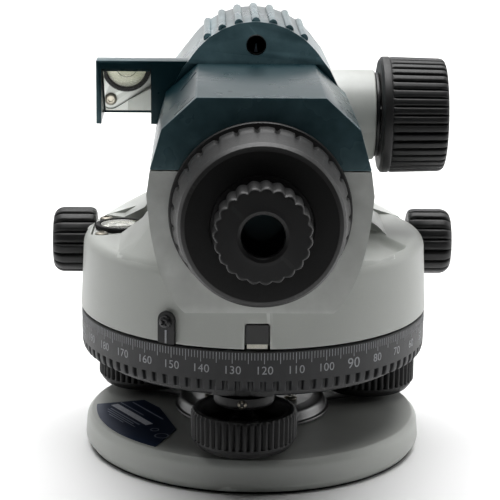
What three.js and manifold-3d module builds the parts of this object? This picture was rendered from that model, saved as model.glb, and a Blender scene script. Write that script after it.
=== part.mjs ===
// Automatic level (surveying instrument), in millimetres, +Z up.
// The line of sight runs along +Y, from the eyepiece to the objective. The origin is on the vertical
// axis, at the underside of the base plate.
import * as THREE from 'three';
import { mergeVertices } from 'three/addons/utils/BufferGeometryUtils.js';
import Module from 'manifold-3d';

const wasm = await Module();
wasm.setup();

// ---- Driving dimensions ----
const GAP = 0.3; // between neighbouring pieces
const HALF_LENGTH = 107.5; // eyepiece end and objective end from the vertical axis
const HALF_WIDTH = 68.5; // ends of the drive knobs

const BASE = { radius: 56.6, height: 11.3, threadRadius: 7.9, socketDepth: 8 };
const FOOT = {
  circle: 44.3, // distance of the foot screws from the vertical axis
  turn: -4.7, // degrees that the three screws are turned about the vertical axis
  ballRadius: 5, ballZ: 8.2, studRadius: 3, studTop: 41,
  knobRadius: 17, knobLow: 13.3, knobHigh: 25.6, dishRadius: 14.2, dishZ: 20, ribs: 44,
};
const SPRING_PLATE = { low: 11.6, thickness: 1, hubRadius: 25, hubHeight: 5 };
const TRIBRACH = {
  radius: 52, low: 31.5, floor: 4.5, rimTop: 43.7, bossRadius: 9.7, bossLow: 27.3, boreRadius: 5.2,
};
const CIRCLE = { radius: 57.6, low: 34.5, high: 48, wall: 3.4, gripTop: 38.1 };
const DRUM = { radius: 57.8, low: 48.7, shoulder: 73.5, fillet: 4, cavityRadius: 51.5, ceiling: 70 };
const SIGHT_Z = 96.3; // height of the optical axis
const TELESCOPE = { rear: -75, waist: 28, front: 100, parting: 108.5, wall: 3, floor: 75, barrel: 30.5 };
const HOOD = {
  radius: 27.3, z: 117, rise: -8, crest: 0, ribs: 7, ribStep: 12.5, peepZ: 136, peepRadius: 3.3,
  fallsFrom: 44, frontShare: 0.66, // the hood falls to this share of its height at the objective
};
const MIRROR_BOX = {
  left: -52.1, rear: -6, front: 17.4, low: 110, high: 130.8, wall: 1.6,
  lean: 126.6, // Y + Z on the face of the leaning mirror
};
const VIAL = { x: -44.5, y: 5, z: 73.5, ringRadius: 8.8, glassRadius: 7, screwCircle: 12.9 };
const AXIS = { spindle: 8, bush: 13, neck: 10 };
const DRIVE = {
  y: 22, z: 64.5, knobRadius: 11.2, knobInner: 53.7, shaftRadius: 2.5, wormRadius: 3.5, ribs: 18,
};
const FOCUS = {
  y: 5, z: 111.8, knobRadius: 19.3, knobInner: 41.1, knobOuter: 63, ribs: 40,
  boss: 15, bossStart: 18.8, pinion: 2.4,
};
const CARRIAGE = { rear: -4, front: 42, radius: 12.4 };
const EYEPIECE = {
  guardRadius: 27.2, discRadius: 23.4, discY: -95, ringRadius: 13.9, hole: 6.1, scallops: 24,
};
const BUTTON = { z: 53.35, radius: 3.2, travel: 2 };
const INDEX = { bearing: 28.6, width: 5.8, low: 48.9, high: 59.3 };

const rad = THREE.MathUtils.degToRad;

// ---- Solids ----
// A three.js geometry as a manifold solid, with split vertices joined and empty triangles dropped.
function solid(geometry) {
  geometry.deleteAttribute('normal');
  geometry.deleteAttribute('uv');
  const welded = mergeVertices(geometry, 1e-4);
  const corners = welded.index.array;
  const kept = [];
  for (let i = 0; i < corners.length; i += 3) {
    const [a, b, c] = [corners[i], corners[i + 1], corners[i + 2]];
    if (a !== b && b !== c && c !== a) kept.push(a, b, c);
  }
  const mesh = new wasm.Mesh({
    numProp: 3,
    vertProperties: new Float32Array(welded.attributes.position.array),
    triVerts: new Uint32Array(kept),
  });
  return new wasm.Manifold(mesh);
}

const join = (first, ...others) => others.reduce((sum, other) => sum.add(other), first);
const cut = (first, ...others) => others.reduce((rest, other) => rest.subtract(other), first);

function box(x0, x1, y0, y1, z0, z1) {
  const geometry = new THREE.BoxGeometry(x1 - x0, y1 - y0, z1 - z0);
  return solid(geometry.translate((x0 + x1) / 2, (y0 + y1) / 2, (z0 + z1) / 2));
}

// A profile of [radius, height] points revolved about +Z. It is closed, or starts and ends on the axis.
function turned(profile, segments = 32) {
  const points = profile.map(([r, h]) => new THREE.Vector2(r, h));
  if (profile[0][0] > 0 || profile.at(-1)[0] > 0) points.push(points[0].clone());
  const area = points.reduce((sum, p, i) => sum + p.cross(points[(i + 1) % points.length]), 0);
  if (area > 0) points.reverse();
  points.reverse();
  return solid(new THREE.LatheGeometry(points, segments).rotateX(Math.PI / 2));
}

// A disc or tube about +Z between two heights.
function disc(radius, low, high, bore = 0, segments = 32) {
  return turned([[bore, low], [radius, low], [radius, high], [bore, high]], segments);
}

const alongX = (body) => body.rotate([0, 90, 0]); // +Z to +X
const alongY = (body) => body.rotate([-90, 0, 0]); // +Z to +Y
function acrossX(radius, x0, x1, y, z, segments = 24) {
  return alongX(disc(radius, x0, x1, 0, segments)).translate([0, y, z]);
}

function acrossY(radius, y0, y1, x, z, segments = 24) {
  return alongY(disc(radius, y0, y1, 0, segments)).translate([x, 0, z]);
}

// An outline of [x, z] points, mirrored about X = 0, extruded along Y.
function profileGeometry(halfOutline, y0, y1) {
  const left = halfOutline.map(([x, z]) => [-x, z]).reverse();
  const shape = new THREE.Shape([...halfOutline, ...left].map(([x, z]) => new THREE.Vector2(x, z)));
  const geometry = new THREE.ExtrudeGeometry(shape, { depth: y1 - y0, bevelEnabled: false });
  return geometry.rotateX(Math.PI / 2).translate(0, y1, 0);
}

const profileAlongY = (halfOutline, y0, y1) => solid(profileGeometry(halfOutline, y0, y1));

// A flat shape raised between two heights.
function prismOf(shape, low, high, curveSegments = 12) {
  const depth = high - low;
  const geometry = new THREE.ExtrudeGeometry(shape, { depth, bevelEnabled: false, curveSegments });
  return solid(geometry.translate(0, 0, low));
}

// An outline of [y, z] points, extruded along X.
function sideways(outline, x0, x1) {
  const shape = new THREE.Shape(outline.map(([y, z]) => new THREE.Vector2(y, z)));
  return prismOf(shape, x0, x1).rotate([90, 0, 90]);
}

// A ribbed disc: the radius falls by depth between the ribs.
function fluted(radius, depth, count, low, high) {
  const points = [];
  for (let i = 0; i < count; i++) {
    for (const [at, r] of [[0, radius], [0.5, radius - depth]]) {
      const angle = ((i + at) / count) * 2 * Math.PI;
      points.push(new THREE.Vector2(r * Math.cos(angle), r * Math.sin(angle)));
    }
  }
  return prismOf(new THREE.Shape(points), low, high);
}

// The rounded triangle round three circles, as a prism.
function hullOfCircles(centres, radius, low, high) {
  const middle = centres.reduce((sum, c) => sum.add(c), new THREE.Vector2()).divideScalar(centres.length);
  const points = [];
  for (const centre of centres) {
    const outward = centre.clone().sub(middle).angle();
    for (let step = -4; step <= 4; step++) {
      const angle = outward + rad(60) * (step / 4);
      points.push(new THREE.Vector2(radius, 0).rotateAround(new THREE.Vector2(), angle).add(centre));
    }
  }
  return prismOf(new THREE.Shape(points), low, high);
}

// ---- Materials ----
const finish = (color, roughness, metalness) => ({ color, roughness, metalness });
const GREY_PAINT = finish(0xb4b6b0, 0.45, 0.1);
const TEAL_PAINT = finish(0x0d2a33, 0.4, 0.1);
const BLACK_PLASTIC = finish(0x1c1c1d, 0.6, 0);
const STEEL = finish(0xb9bcc0, 0.3, 0.9);
const BRASS = finish(0xb08d4a, 0.35, 0.9);
const GLASS = finish(0xcfe0e4, 0.05, 0);
const MIRROR = finish(0xdfe3e4, 0.05, 1);
const NAVY_LABEL = finish(0x0b1430, 0.5, 0);

const level = new THREE.Group();

// Adds a solid to the group as a named mesh.
function addPiece(name, body, look) {
  const { vertProperties, triVerts } = body.getMesh();
  const geometry = new THREE.BufferGeometry();
  geometry.setAttribute('position', new THREE.BufferAttribute(new Float32Array(vertProperties), 3));
  geometry.setIndex(new THREE.BufferAttribute(new Uint32Array(triVerts), 1));
  geometry.computeVertexNormals();
  const mesh = new THREE.Mesh(geometry, new THREE.MeshStandardMaterial(look));
  mesh.name = name;
  level.add(mesh);
}

// ---- Foot: base plate, spring plate, foot screws ----
const footAngles = { front: -90 + FOOT.turn, right: 30 + FOOT.turn, left: 150 + FOOT.turn };
const footSpots = Object.fromEntries(Object.entries(footAngles).map(([name, angle]) => [
  name,
  [FOOT.circle * Math.cos(rad(angle)), FOOT.circle * Math.sin(rad(angle)), 0],
]));

function basePlate() {
  const { radius, height, threadRadius } = BASE;
  const plate = turned([
    [threadRadius, 0], [20, 0], [20, 3], [34, 3], [34, 0], [radius - 1.6, 0], [radius, 2],
    [radius - 0.6, height - 1.4], [radius - 2, height], [threadRadius, height],
  ], 56);
  const socket = disc(FOOT.ballRadius + 1.3, FOOT.ballZ - FOOT.ballRadius - GAP, height + 1, 0, 20);
  return cut(plate, ...Object.values(footSpots).map((spot) => socket.translate(spot)));
}

// The sprung plate that holds the three ball feet down on the base plate.
function springPlate() {
  const { low, thickness, hubRadius, hubHeight } = SPRING_PLATE;
  const high = low + thickness;
  const hub = turned([
    [9, low + hubHeight - thickness], [hubRadius - 5, low + hubHeight - thickness], [hubRadius - 1, low],
    [hubRadius + 1, low], [hubRadius + 1, high], [hubRadius, high], [hubRadius - 4.4, low + hubHeight],
    [9, low + hubHeight],
  ], 30);
  const arms = Object.values(footAngles).map((angle) => cut(
    join(
      box(hubRadius - 1, FOOT.circle, -6, 6, low, high),
      disc(7.5, low, high, 0, 24).translate([FOOT.circle, 0, 0]),
    ),
    disc(4.2, low - 1, high + 1, 0, 16).translate([FOOT.circle, 0, 0]),
  ).rotate([0, 0, angle]));
  return join(hub, ...arms);
}

function springPlateScrew() {
  const hubTop = SPRING_PLATE.low + SPRING_PLATE.hubHeight;
  return disc(2.2, hubTop + 0.1, hubTop + 1.3, 0, 20);
}

function footStud() {
  const { ballRadius, ballZ, studRadius, studTop, dishZ } = FOOT;
  const ball = solid(new THREE.SphereGeometry(ballRadius, 16, 8)).translate([0, 0, ballZ]);
  return join(ball, disc(studRadius, ballZ, studTop, 0, 16), disc(4.6, dishZ + GAP, dishZ + 2.5, 0, 16));
}

function footKnob() {
  const { knobRadius, knobLow, knobHigh, dishRadius, dishZ, studRadius, ribs } = FOOT;
  const skirt = turned([[0, knobLow], [15.4, knobLow], [knobRadius - 1, knobLow + 2], [0, knobLow + 2]], 22);
  const grip = fluted(knobRadius, 0.9, ribs, knobLow + 2, knobHigh);
  const dish = turned([
    [0, dishZ], [dishRadius - 1.5, dishZ], [dishRadius, knobHigh + 1], [0, knobHigh + 1],
  ], 22);
  return cut(join(skirt, grip), dish, disc(studRadius + GAP, 0, 60, 0, 16));
}

addPiece('base_plate', basePlate(), GREY_PAINT);
addPiece('spring_plate', springPlate(), STEEL);
for (const [name, angle] of Object.entries(footAngles)) {
  const across = [15.5 * Math.cos(rad(angle + 60)), 15.5 * Math.sin(rad(angle + 60)), 0];
  addPiece(`spring_plate_screw_${name}`, springPlateScrew().translate(across), STEEL);
  addPiece(`foot_screw_${name}`, footStud().translate(footSpots[name]), STEEL);
  addPiece(`foot_knob_${name}`, footKnob().translate(footSpots[name]), BLACK_PLASTIC);
}

function baseLabel() {
  const shape = new THREE.Shape();
  shape.absarc(0, 0, BASE.radius - 3.5, rad(169), rad(230));
  shape.absarc(0, 0, 31, rad(230), rad(169), true);
  return prismOf(shape, BASE.height + 0.05, BASE.height + 0.3, 24);
}

addPiece('base_label', baseLabel(), NAVY_LABEL);

// ---- Tribrach and the graduated circle ----
function tribrach() {
  const { radius, low, floor, rimTop, bossRadius } = TRIBRACH;
  const shell = turned([
    [AXIS.bush + GAP, 24], [18, 24], [18, low], [radius, low], [radius, rimTop], [radius - 6, rimTop],
    [radius - 6, low + floor], [19, low + floor], [19, rimTop - 1], [AXIS.bush + GAP, rimTop - 1],
  ], 40);
  const boss = disc(bossRadius + 2, low, rimTop - 2, 0, 20);
  const bore = disc(bossRadius - 2 + GAP, low - 1, rimTop + 1, 0, 20);
  const spots = Object.values(footSpots);
  const body = join(shell, ...spots.map((spot) => boss.translate(spot)));
  const trimmed = body.intersect(disc(radius, 20, 60, 0, 40));
  return cut(trimmed, ...spots.map((spot) => bore.translate(spot)));
}

// The nut that climbs on a foot screw. Its collar is the round boss seen above the knob.
function footNut() {
  const { bossRadius, bossLow, boreRadius, low, rimTop } = TRIBRACH;
  return turned([
    [boreRadius, bossLow], [bossRadius - 0.6, bossLow], [bossRadius, bossLow + 0.6], [bossRadius, low - GAP],
    [bossRadius - 2, low - GAP], [bossRadius - 2, rimTop - 2.3], [boreRadius, rimTop - 2.3],
  ], 20);
}

function axisBush() {
  const { spindle, bush, neck } = AXIS;
  return turned([
    [spindle + GAP, 23], [bush, 23], [bush, 61.8], [neck, 61.8], [neck, 68], [spindle + GAP, 68],
  ], 24);
}

function horizontalCircle() {
  const { radius, low, high, wall, gripTop } = CIRCLE;
  return turned([
    [24, high - 3.4], [radius - wall, high - 3.4], [radius - wall, low], [radius - 0.3, low],
    [radius - 0.3, gripTop], [radius, gripTop], [radius, high], [24, high],
  ], 64);
}

addPiece('tribrach', tribrach(), GREY_PAINT);
for (const [name, spot] of Object.entries(footSpots)) {
  addPiece(`foot_screw_nut_${name}`, footNut().translate(spot), BLACK_PLASTIC);
}
addPiece('axis_bush', axisBush(), BRASS);
addPiece('horizontal_circle', horizontalCircle(), BLACK_PLASTIC);

// ---- Alidade: drum and lower half of the telescope in one casting ----
// Right-hand half of the casting's section, from the bottom up to the parting line.
function castingSide(inset = 0) {
  const curve = new THREE.QuadraticBezierCurve(
    new THREE.Vector2(22.3, 65.2), new THREE.Vector2(31.5, 73), new THREE.Vector2(33.7, 101),
  );
  const side = curve.getPoints(8).map((p) => [p.x - inset, p.y]);
  return [...side, [32.7 - inset, TELESCOPE.parting]];
}

const vialSpot = (angle, radius = VIAL.screwCircle) => new THREE.Vector2(
  VIAL.x + radius * Math.cos(rad(angle)), VIAL.y + radius * Math.sin(rad(angle)),
);
const VIAL_SCREWS = { front: 116, rear: 242, inner: 0 };

function mainCasting() {
  const { radius, low, shoulder, fillet, cavityRadius, ceiling } = DRUM;
  const { rear, waist, front, parting, wall, floor, barrel } = TELESCOPE;
  const corner = [22.5, 45, 67.5].map((a) => [
    radius - fillet + fillet * Math.cos(rad(a)), shoulder - fillet + fillet * Math.sin(rad(a)),
  ]);
  const drum = turned([
    [0, low], [radius, low], [radius, shoulder - fillet], ...corner,
    [radius - fillet, shoulder], [0, shoulder],
  ], 56);
  const neck = profileAlongY([[44, shoulder - 1], [44, shoulder], [37, 78], [31, 86], [20, 90]], -60, 60)
    .intersect(disc(radius, 40, 120, 0, 56));
  const body = profileAlongY(castingSide(), rear, waist);
  const frontBarrel = acrossY(barrel, waist - 8, front, 0, SIGHT_Z, 48)
    .intersect(box(-60, 60, 0, 120, 40, parting));
  const boss = acrossX(FOCUS.boss, FOCUS.bossStart, 39.4, FOCUS.y, FOCUS.z, 32);
  const shaftBosses = [-1, 1].map((side) => acrossX(7, side * 46, side * 53.3, DRIVE.y, DRIVE.z, 24));
  const cavity = join(
    disc(cavityRadius, low - 1, ceiling, 0, 40),
    profileAlongY([[26, floor], [33.7 - wall, 92], [33.7 - wall, parting + 30]], rear + 4, waist - 4)
      .intersect(profileAlongY(
        [...castingSide(wall).slice(0, -1), [29.7, parting], [29.7, 140]], rear, waist,
      )),
    acrossY(barrel - wall, waist - 10, 84, 0, SIGHT_Z, 48),
    acrossY(27, 80, front + 1, 0, SIGHT_Z, 48),
  );
  const vialPad = disc(VIAL.ringRadius + 2.5, ceiling - 8, shoulder - 1, 0, 24)
    .translate([VIAL.x, VIAL.y, 0])
    .intersect(disc(radius - 1, 40, 90, 0, 56));
  const axisPad = disc(16, ceiling, ceiling + 2, 0, 24);
  const saddles = [[-65, -58], [14, 18], [34, 38]].map(([y0, y1]) => cut(
    box(-28, 28, y0, y1, floor - 2, parting - 1).intersect(profileAlongY(castingSide(0.5), y0, y1)),
    acrossY(CARRIAGE.radius + GAP, y0 - 1, y1 + 1, 0, SIGHT_Z),
    box(-9, 9, y0 - 1, y1 + 1, SIGHT_Z, parting + 1),
  ));
  const vialPocket = hullOfCircles(
    Object.values(VIAL_SCREWS).map((angle) => vialSpot(angle)), 3.6, shoulder - 2.4, shoulder + 12,
  );
  const shell = cut(join(drum, neck, body, frontBarrel), cavity);
  const padded = join(shell, boss, vialPad, axisPad, ...saddles);
  return cut(
    join(padded, ...shaftBosses),
    vialPocket,
    disc(VIAL.ringRadius + GAP, ceiling - 5, 100).translate([VIAL.x, VIAL.y, 0]),
    acrossX(DRIVE.shaftRadius + GAP, -90, 90, DRIVE.y, DRIVE.z, 24),
    ...[-1, 1].map((side) => acrossX(DRIVE.knobRadius + 1, side * 53.4, side * 70, DRIVE.y, DRIVE.z)),
    acrossX(4.2, 18, 60, FOCUS.y, FOCUS.z, 24),
    acrossY(15, rear - 1, rear + 8, 0, SIGHT_Z),
    acrossY(BUTTON.radius + 0.5, -70, -40, 0, BUTTON.z, 20),
  );
}

addPiece('main_casting', mainCasting(), GREY_PAINT);

// ---- Upper cover with the ribbed hood, the peep sight tunnel and the mirror box ----
function coverOutline(inset = 0) {
  const { parting } = TELESCOPE;
  return [
    [32.7 - inset, parting + GAP], [29.3 - inset, 120.8 - inset * 0.4], [19 - inset * 0.4, 130.3 - inset],
  ];
}

// A round crown on straight flanks that spread downwards.
function hoodOutline(inset = 0) {
  const radius = HOOD.radius - inset;
  const arc = [35, 46, 57, 68, 79].map((angle) => [
    radius * Math.cos(rad(angle)), HOOD.z + radius * Math.sin(rad(angle)),
  ]);
  const flank = [[30.9, TELESCOPE.parting + GAP], [29.8, 119.4], [27.7, 123.6], [25.2, 128.6]];
  return [...flank.map(([x, z]) => [x - inset, z]), ...arc, [0.01, HOOD.z + radius]];
}

// A piece of the hood: level at first, then falling towards the objective.
// makeGeometry(y0, y1) gives the piece's geometry between two places along Y.
function hoodPiece(makeGeometry, y0, y1) {
  const { fallsFrom, frontShare } = HOOD;
  const { front, parting } = TELESCOPE;
  const falling = makeGeometry(fallsFrom, y1);
  const corners = falling.attributes.position;
  for (let i = 0; i < corners.count; i++) {
    const along = Math.max(0, corners.getY(i) - fallsFrom) / (front - fallsFrom);
    const share = 1 - (1 - frontShare) * along;
    corners.setZ(i, parting + (corners.getZ(i) - parting) * share);
  }
  return join(solid(makeGeometry(y0, fallsFrom)), solid(falling));
}

function topCover() {
  const { rear, front, parting } = TELESCOPE;
  const { radius, z, rise, crest, ribs, ribStep, peepZ, peepRadius } = HOOD;
  const skin = 1.2; // height of the ribs
  const deck = profileAlongY(coverOutline(), rear, 4);
  const hood = hoodPiece((y0, y1) => profileGeometry(hoodOutline(skin), y0, y1), rise, front);
  const ribBars = Array.from({ length: ribs }, (_, i) => {
    const turn = (i - (ribs - 1) / 2) * ribStep;
    return hoodPiece((y0, y1) => new THREE.BoxGeometry(2.9, y1 - y0, 3)
      .translate(0, (y0 + y1) / 2, radius - 1.5)
      .rotateY(rad(turn))
      .translate(0, 0, z), crest + 1, front - 14);
  });
  const slope = Math.atan2(14, crest - rise);
  const clearance = box(-60, 60, -60, 0, 0, 60).rotate([THREE.MathUtils.radToDeg(slope) - 90, 0, 0])
    .translate([0, rise, 130.3]);
  const arch = cut(join(hood, ...ribBars), clearance);
  const tunnel = acrossY(peepRadius + 2.4, rise - 10, front - 2, 0, peepZ);
  const mb = MIRROR_BOX;
  const mirrorBox = cut(
    sideways([
      [mb.rear, mb.low], [mb.front, mb.low], [mb.front, mb.lean + 5.9 - mb.front],
      [mb.lean + 5.9 - mb.high, mb.high], [mb.rear, mb.high],
    ], mb.left, -22),
    sideways([
      [mb.rear - 1, mb.low - 1], [mb.front - 1.4, mb.low - 1], [mb.front - 1.4, mb.lean + 3.4 - mb.front],
      [mb.lean + 4 - mb.high, mb.high - 2], [mb.rear - 1, mb.high - 2],
    ], mb.left + mb.wall, -34),
  );
  const hollow = cut(
    join(
      profileAlongY([[29.7, parting - 1], ...coverOutline(2.6)], rear + 4, 3),
      hoodPiece((y0, y1) => profileGeometry([[26.4, parting - 1], ...hoodOutline(3.8)], y0, y1), 0, 84),
    ),
    tunnel,
  );
  return cut(
    join(cut(join(deck, arch), hollow), mirrorBox),
    acrossY(peepRadius, rise - 20, front + 1, 0, peepZ),
    acrossY(27.2, 80, front + 1, 0, SIGHT_Z, 48),
    acrossX(FOCUS.boss + GAP, FOCUS.bossStart - GAP, 60, FOCUS.y, FOCUS.z, 32),
    acrossY(15, rear - 1, rear + 8, 0, SIGHT_Z),
    box(20, 60, -60, 60, 90, parting + GAP),
  );
}

addPiece('top_cover', topCover(), TEAL_PAINT);

// ---- Vertical axis, clutch wheel and slow-motion drive ----
function drumFloor() {
  const { low, cavityRadius } = DRUM;
  return disc(cavityRadius - 0.5, low + 0.1, low + 1.2, AXIS.bush + 3, 40);
}

function axisSpindle() {
  return turned([[0, 21], [AXIS.spindle, 21], [AXIS.spindle, 68.3], [13, 68.3], [13, DRUM.ceiling - GAP],
    [0, DRUM.ceiling - GAP]]);
}

function spindleWasher() {
  return disc(11, 19.2, 20.7);
}

function clutchWheel() {
  const reach = DRIVE.y - DRIVE.wormRadius - 0.4;
  return cut(fluted(reach, 0.8, 60, 62.4, 66.6), disc(AXIS.neck + GAP, 60, 70));
}

function driveShaft() {
  const shaft = acrossX(DRIVE.shaftRadius, -HALF_WIDTH + 3, HALF_WIDTH - 3, DRIVE.y, DRIVE.z, 16);
  const core = acrossX(DRIVE.wormRadius - 0.8, -9, 9, DRIVE.y, DRIVE.z, 16);
  const threads = Array.from({ length: 6 }, (_, i) => acrossX(
    DRIVE.wormRadius, -6.7 + i * 2.5, -5.6 + i * 2.5, DRIVE.y, DRIVE.z, 16,
  ));
  return join(shaft, core, ...threads);
}

// A knob for the left or right end of the drive shaft, hollow on the shaft side.
function driveKnob(side) {
  const { knobRadius, knobInner, shaftRadius, ribs, y, z } = DRIVE;
  const length = HALF_WIDTH - knobInner;
  const grip = fluted(knobRadius, 0.9, ribs, 0, length - 2.4);
  const cap = turned([
    [0, length - 2.4], [knobRadius - 0.9, length - 2.4], [knobRadius - 2.6, length], [0, length],
  ], 24);
  const hollow = cut(disc(knobRadius - 2.2, -1, 6, 0, 24), disc(5, -2, 7, 0, 16));
  const knob = cut(join(grip, cap), hollow, disc(shaftRadius + GAP, -1, length - 2.6, 0, 16));
  return knob.rotate([0, side * 90, 0]).translate([side * knobInner, y, z]);
}

addPiece('drum_floor', drumFloor(), BLACK_PLASTIC);
addPiece('axis_spindle', axisSpindle(), STEEL);
addPiece('spindle_washer', spindleWasher(), STEEL);
addPiece('clutch_wheel', clutchWheel(), BRASS);
addPiece('drive_shaft', driveShaft(), STEEL);
addPiece('drive_knob_left', driveKnob(-1), BLACK_PLASTIC);
addPiece('drive_knob_right', driveKnob(1), BLACK_PLASTIC);

// ---- Focusing: knob, shaft with pinion, carriage with rack and lens ----
function focusKnob() {
  const { knobRadius, knobInner, knobOuter, ribs, y, z } = FOCUS;
  const length = knobOuter - knobInner;
  const flange = turned([[0, 0], [knobRadius - 0.6, 0], [knobRadius, 0.6], [knobRadius, 3.4], [0, 3.4]]);
  const grip = fluted(knobRadius - 0.3, 0.9, ribs, 3.4, length - 1.2);
  const cap = turned([
    [0, length - 2], [knobRadius - 1.3, length - 2], [knobRadius - 1.3, length - 1],
    [knobRadius - 2.2, length], [0, length],
  ], 40);
  const hollow = cut(disc(knobRadius - 3.5, -1, 12, 0, 24), disc(7, -2, 13, 0, 16));
  const knob = cut(join(flange, grip, cap), hollow, disc(3.3, -1, length - 4, 0, 24));
  return alongX(knob).translate([knobInner, y, z]);
}

function focusShaft() {
  const { knobOuter, y, z, pinion } = FOCUS;
  const teeth = fluted(pinion, 0.7, 10, -3, 5);
  return join(
    alongX(teeth).translate([0, y, z]),
    acrossX(1.6, -5, 30, y, z, 12),
    acrossX(3, 22, knobOuter - 5, y, z, 16),
  );
}

function focusBush() {
  const { y, z } = FOCUS;
  return alongX(turned([
    [3.3, 24], [4, 24], [4, 39.6], [14, 39.6], [14, 40.8], [3.3, 40.8],
  ], 24)).translate([0, y, z]);
}

function focusingCarriage() {
  const { rear, front, radius } = CARRIAGE;
  const tube = alongY(turned([
    [radius - 2, rear], [radius, rear], [radius, front], [radius - 2, front], [radius - 2, front - 6],
    [radius - 3.4, front - 6], [radius - 3.4, front - 8], [radius - 2, front - 8],
  ], 24)).translate([0, 0, SIGHT_Z]);
  const teeth = Array.from({ length: 12 }, (_, i) => box(-3.5, 5.5, -5 + i * 1.8, -4.1 + i * 1.8, 108, 109));
  const bed = box(-3.5, 5.5, -4, 17, 107, 108.3);
  const rack = cut(join(bed, ...teeth), acrossY(radius - 1.9, -30, 40, 0, SIGHT_Z))
    .intersect(box(-4, 6, rear, 18, 100, 120));
  return join(tube, rack);
}

// A round lens with one curved and one shallow face, on the optical axis.
function lens(radius, edge, bulge, y) {
  const rise = (r) => bulge * (1 - (r / radius) ** 2);
  const steps = [0, 0.4, 0.75, 1].map((share) => share * radius);
  const back = steps.map((r) => [r, -edge / 2 - rise(r) * 0.4]);
  const face = steps.map((r) => [r, edge / 2 + rise(r)]).reverse();
  return alongY(turned([...back, ...face])).translate([0, y, SIGHT_Z]);
}

addPiece('focus_knob', focusKnob(), BLACK_PLASTIC);
addPiece('focus_shaft', focusShaft(), STEEL);
addPiece('focus_bush', focusBush(), BLACK_PLASTIC);
addPiece('focusing_carriage', focusingCarriage(), BRASS);
addPiece('focusing_lens', lens(CARRIAGE.radius - 2.3, 3, 0.8, CARRIAGE.front - 3.6), GLASS);

// ---- Objective ----
function objectiveCell() {
  return alongY(turned([
    [19.5, 82], [26.7, 82], [26.7, 100.4], [28.8, 100.4], [28.8, HALF_LENGTH - 1], [27.8, HALF_LENGTH],
    [24, HALF_LENGTH], [18.6, 97], [18.6, 94.5], [21, 94.5], [21, 84], [19.5, 84],
  ], 40)).translate([0, 0, SIGHT_Z]);
}

addPiece('objective_cell', objectiveCell(), BLACK_PLASTIC);
addPiece('objective_lens', lens(20.6, 5, 1.6, 89.5), GLASS);

// ---- Compensator: frame, hanging pendulum with its prism, damping magnet ----
function compensatorFrame() {
  const outer = box(-17, 17, -50, -14, 75.4, 106.5);
  const window = box(-13.5, 13.5, -60, 0, 80, 104);
  const side = box(-30, 30, -46, -18, 80, 104);
  return cut(outer, window, side);
}

function compensatorPendulum() {
  const plate = box(-11, 11, -42, -22, 99.5, 102);
  const cheeks = [-1, 1].map((side) => box(side * 10 - 1, side * 10 + 1, -40, -24, 84.5, 100));
  const weight = box(-11, 11, -40, -24, 83, 85);
  return join(plate, weight, ...cheeks);
}

function prism(width, y0, y1, z0, z1) {
  const corners = [[y0, z0], [y1, z0], [(y0 + y1) / 2, z1]];
  const shape = new THREE.Shape(corners.map(([y, z]) => new THREE.Vector2(y, z)));
  const geometry = new THREE.ExtrudeGeometry(shape, { depth: width, bevelEnabled: false });
  return solid(geometry.translate(0, 0, -width / 2).rotateY(Math.PI / 2).rotateX(Math.PI / 2));
}

addPiece('compensator_frame', compensatorFrame(), BLACK_PLASTIC);
addPiece('compensator_pendulum', compensatorPendulum(), BRASS);
addPiece('pendulum_prism', prism(16, -39, -25, 85.6, 97), GLASS);
addPiece('damping_magnet', box(-6, 6, -37, -27, 80.3, 82.2), STEEL);

// ---- Eyepiece end ----
function reticleCell() {
  return alongY(disc(12.2, -65.5, -60, 8.2)).translate([0, 0, SIGHT_Z]);
}

function eyepieceGuard() {
  const { guardRadius, discRadius, discY } = EYEPIECE;
  const rear = TELESCOPE.rear - GAP;
  const shell = alongY(turned([
    [10.6, -67.2], [14.5, -67.2], [14.5, rear], [guardRadius, rear], [guardRadius, rear - 2.2],
    [guardRadius - 1, rear - 2.6], [guardRadius - 1, rear - 8.4], [discRadius + 0.8, discY + 1.2],
    [discRadius, discY], [10.6, discY],
  ])).translate([0, 0, SIGHT_Z]);
  const lobes = cut(fluted(guardRadius - 0.3, 1.6, 27, rear - 8.2, rear - 3), disc(guardRadius - 3, -200, 0));
  return join(shell, alongY(lobes).translate([0, 0, SIGHT_Z]));
}

function diopterRing() {
  const { ringRadius, hole, discY, scallops } = EYEPIECE;
  const rear = discY - 0.5;
  const grip = fluted(ringRadius, 1.1, scallops, -HALF_LENGTH + 1, rear);
  const lip = disc(ringRadius - 1.1, -HALF_LENGTH, -HALF_LENGTH + 1);
  const bore = disc(10.4, -HALF_LENGTH + 2.6, 0, 0, 24);
  const opening = disc(hole, -HALF_LENGTH - 1, 0, 0, 24);
  return alongY(cut(join(grip, lip), bore, opening)).translate([0, 0, SIGHT_Z]);
}

function ocularTube() {
  return alongY(turned([
    [6.5, -102.5], [9.9, -102.5], [9.9, -70], [8.3, -70], [8.3, -100], [6.5, -100],
  ], 24)).translate([0, 0, SIGHT_Z]);
}

addPiece('reticle_cell', reticleCell(), BRASS);
addPiece('reticle_glass', alongY(disc(7.9, -63.5, -62)).translate([0, 0, SIGHT_Z]), GLASS);
addPiece('eyepiece_guard', eyepieceGuard(), BLACK_PLASTIC);
addPiece('diopter_ring', diopterRing(), BLACK_PLASTIC);
addPiece('ocular_tube', ocularTube(), BLACK_PLASTIC);
addPiece('eye_lens', lens(8, 3, 1.2, -96.5), GLASS);

// ---- Circular vial and its mirror ----
function vialPlate() {
  const { shoulder } = DRUM;
  const centres = Object.values(VIAL_SCREWS).map((angle) => vialSpot(angle));
  const plate = hullOfCircles(centres, 3.2, shoulder - 2.1, shoulder - 1);
  const hole = disc(VIAL.ringRadius - 0.9, 60, 90, 0, 24).translate([VIAL.x, VIAL.y, 0]);
  const screwHoles = centres.map((c) => disc(1.5, 60, 90, 0, 12).translate([c.x, c.y, 0]));
  return cut(plate, hole, ...screwHoles);
}

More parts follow.
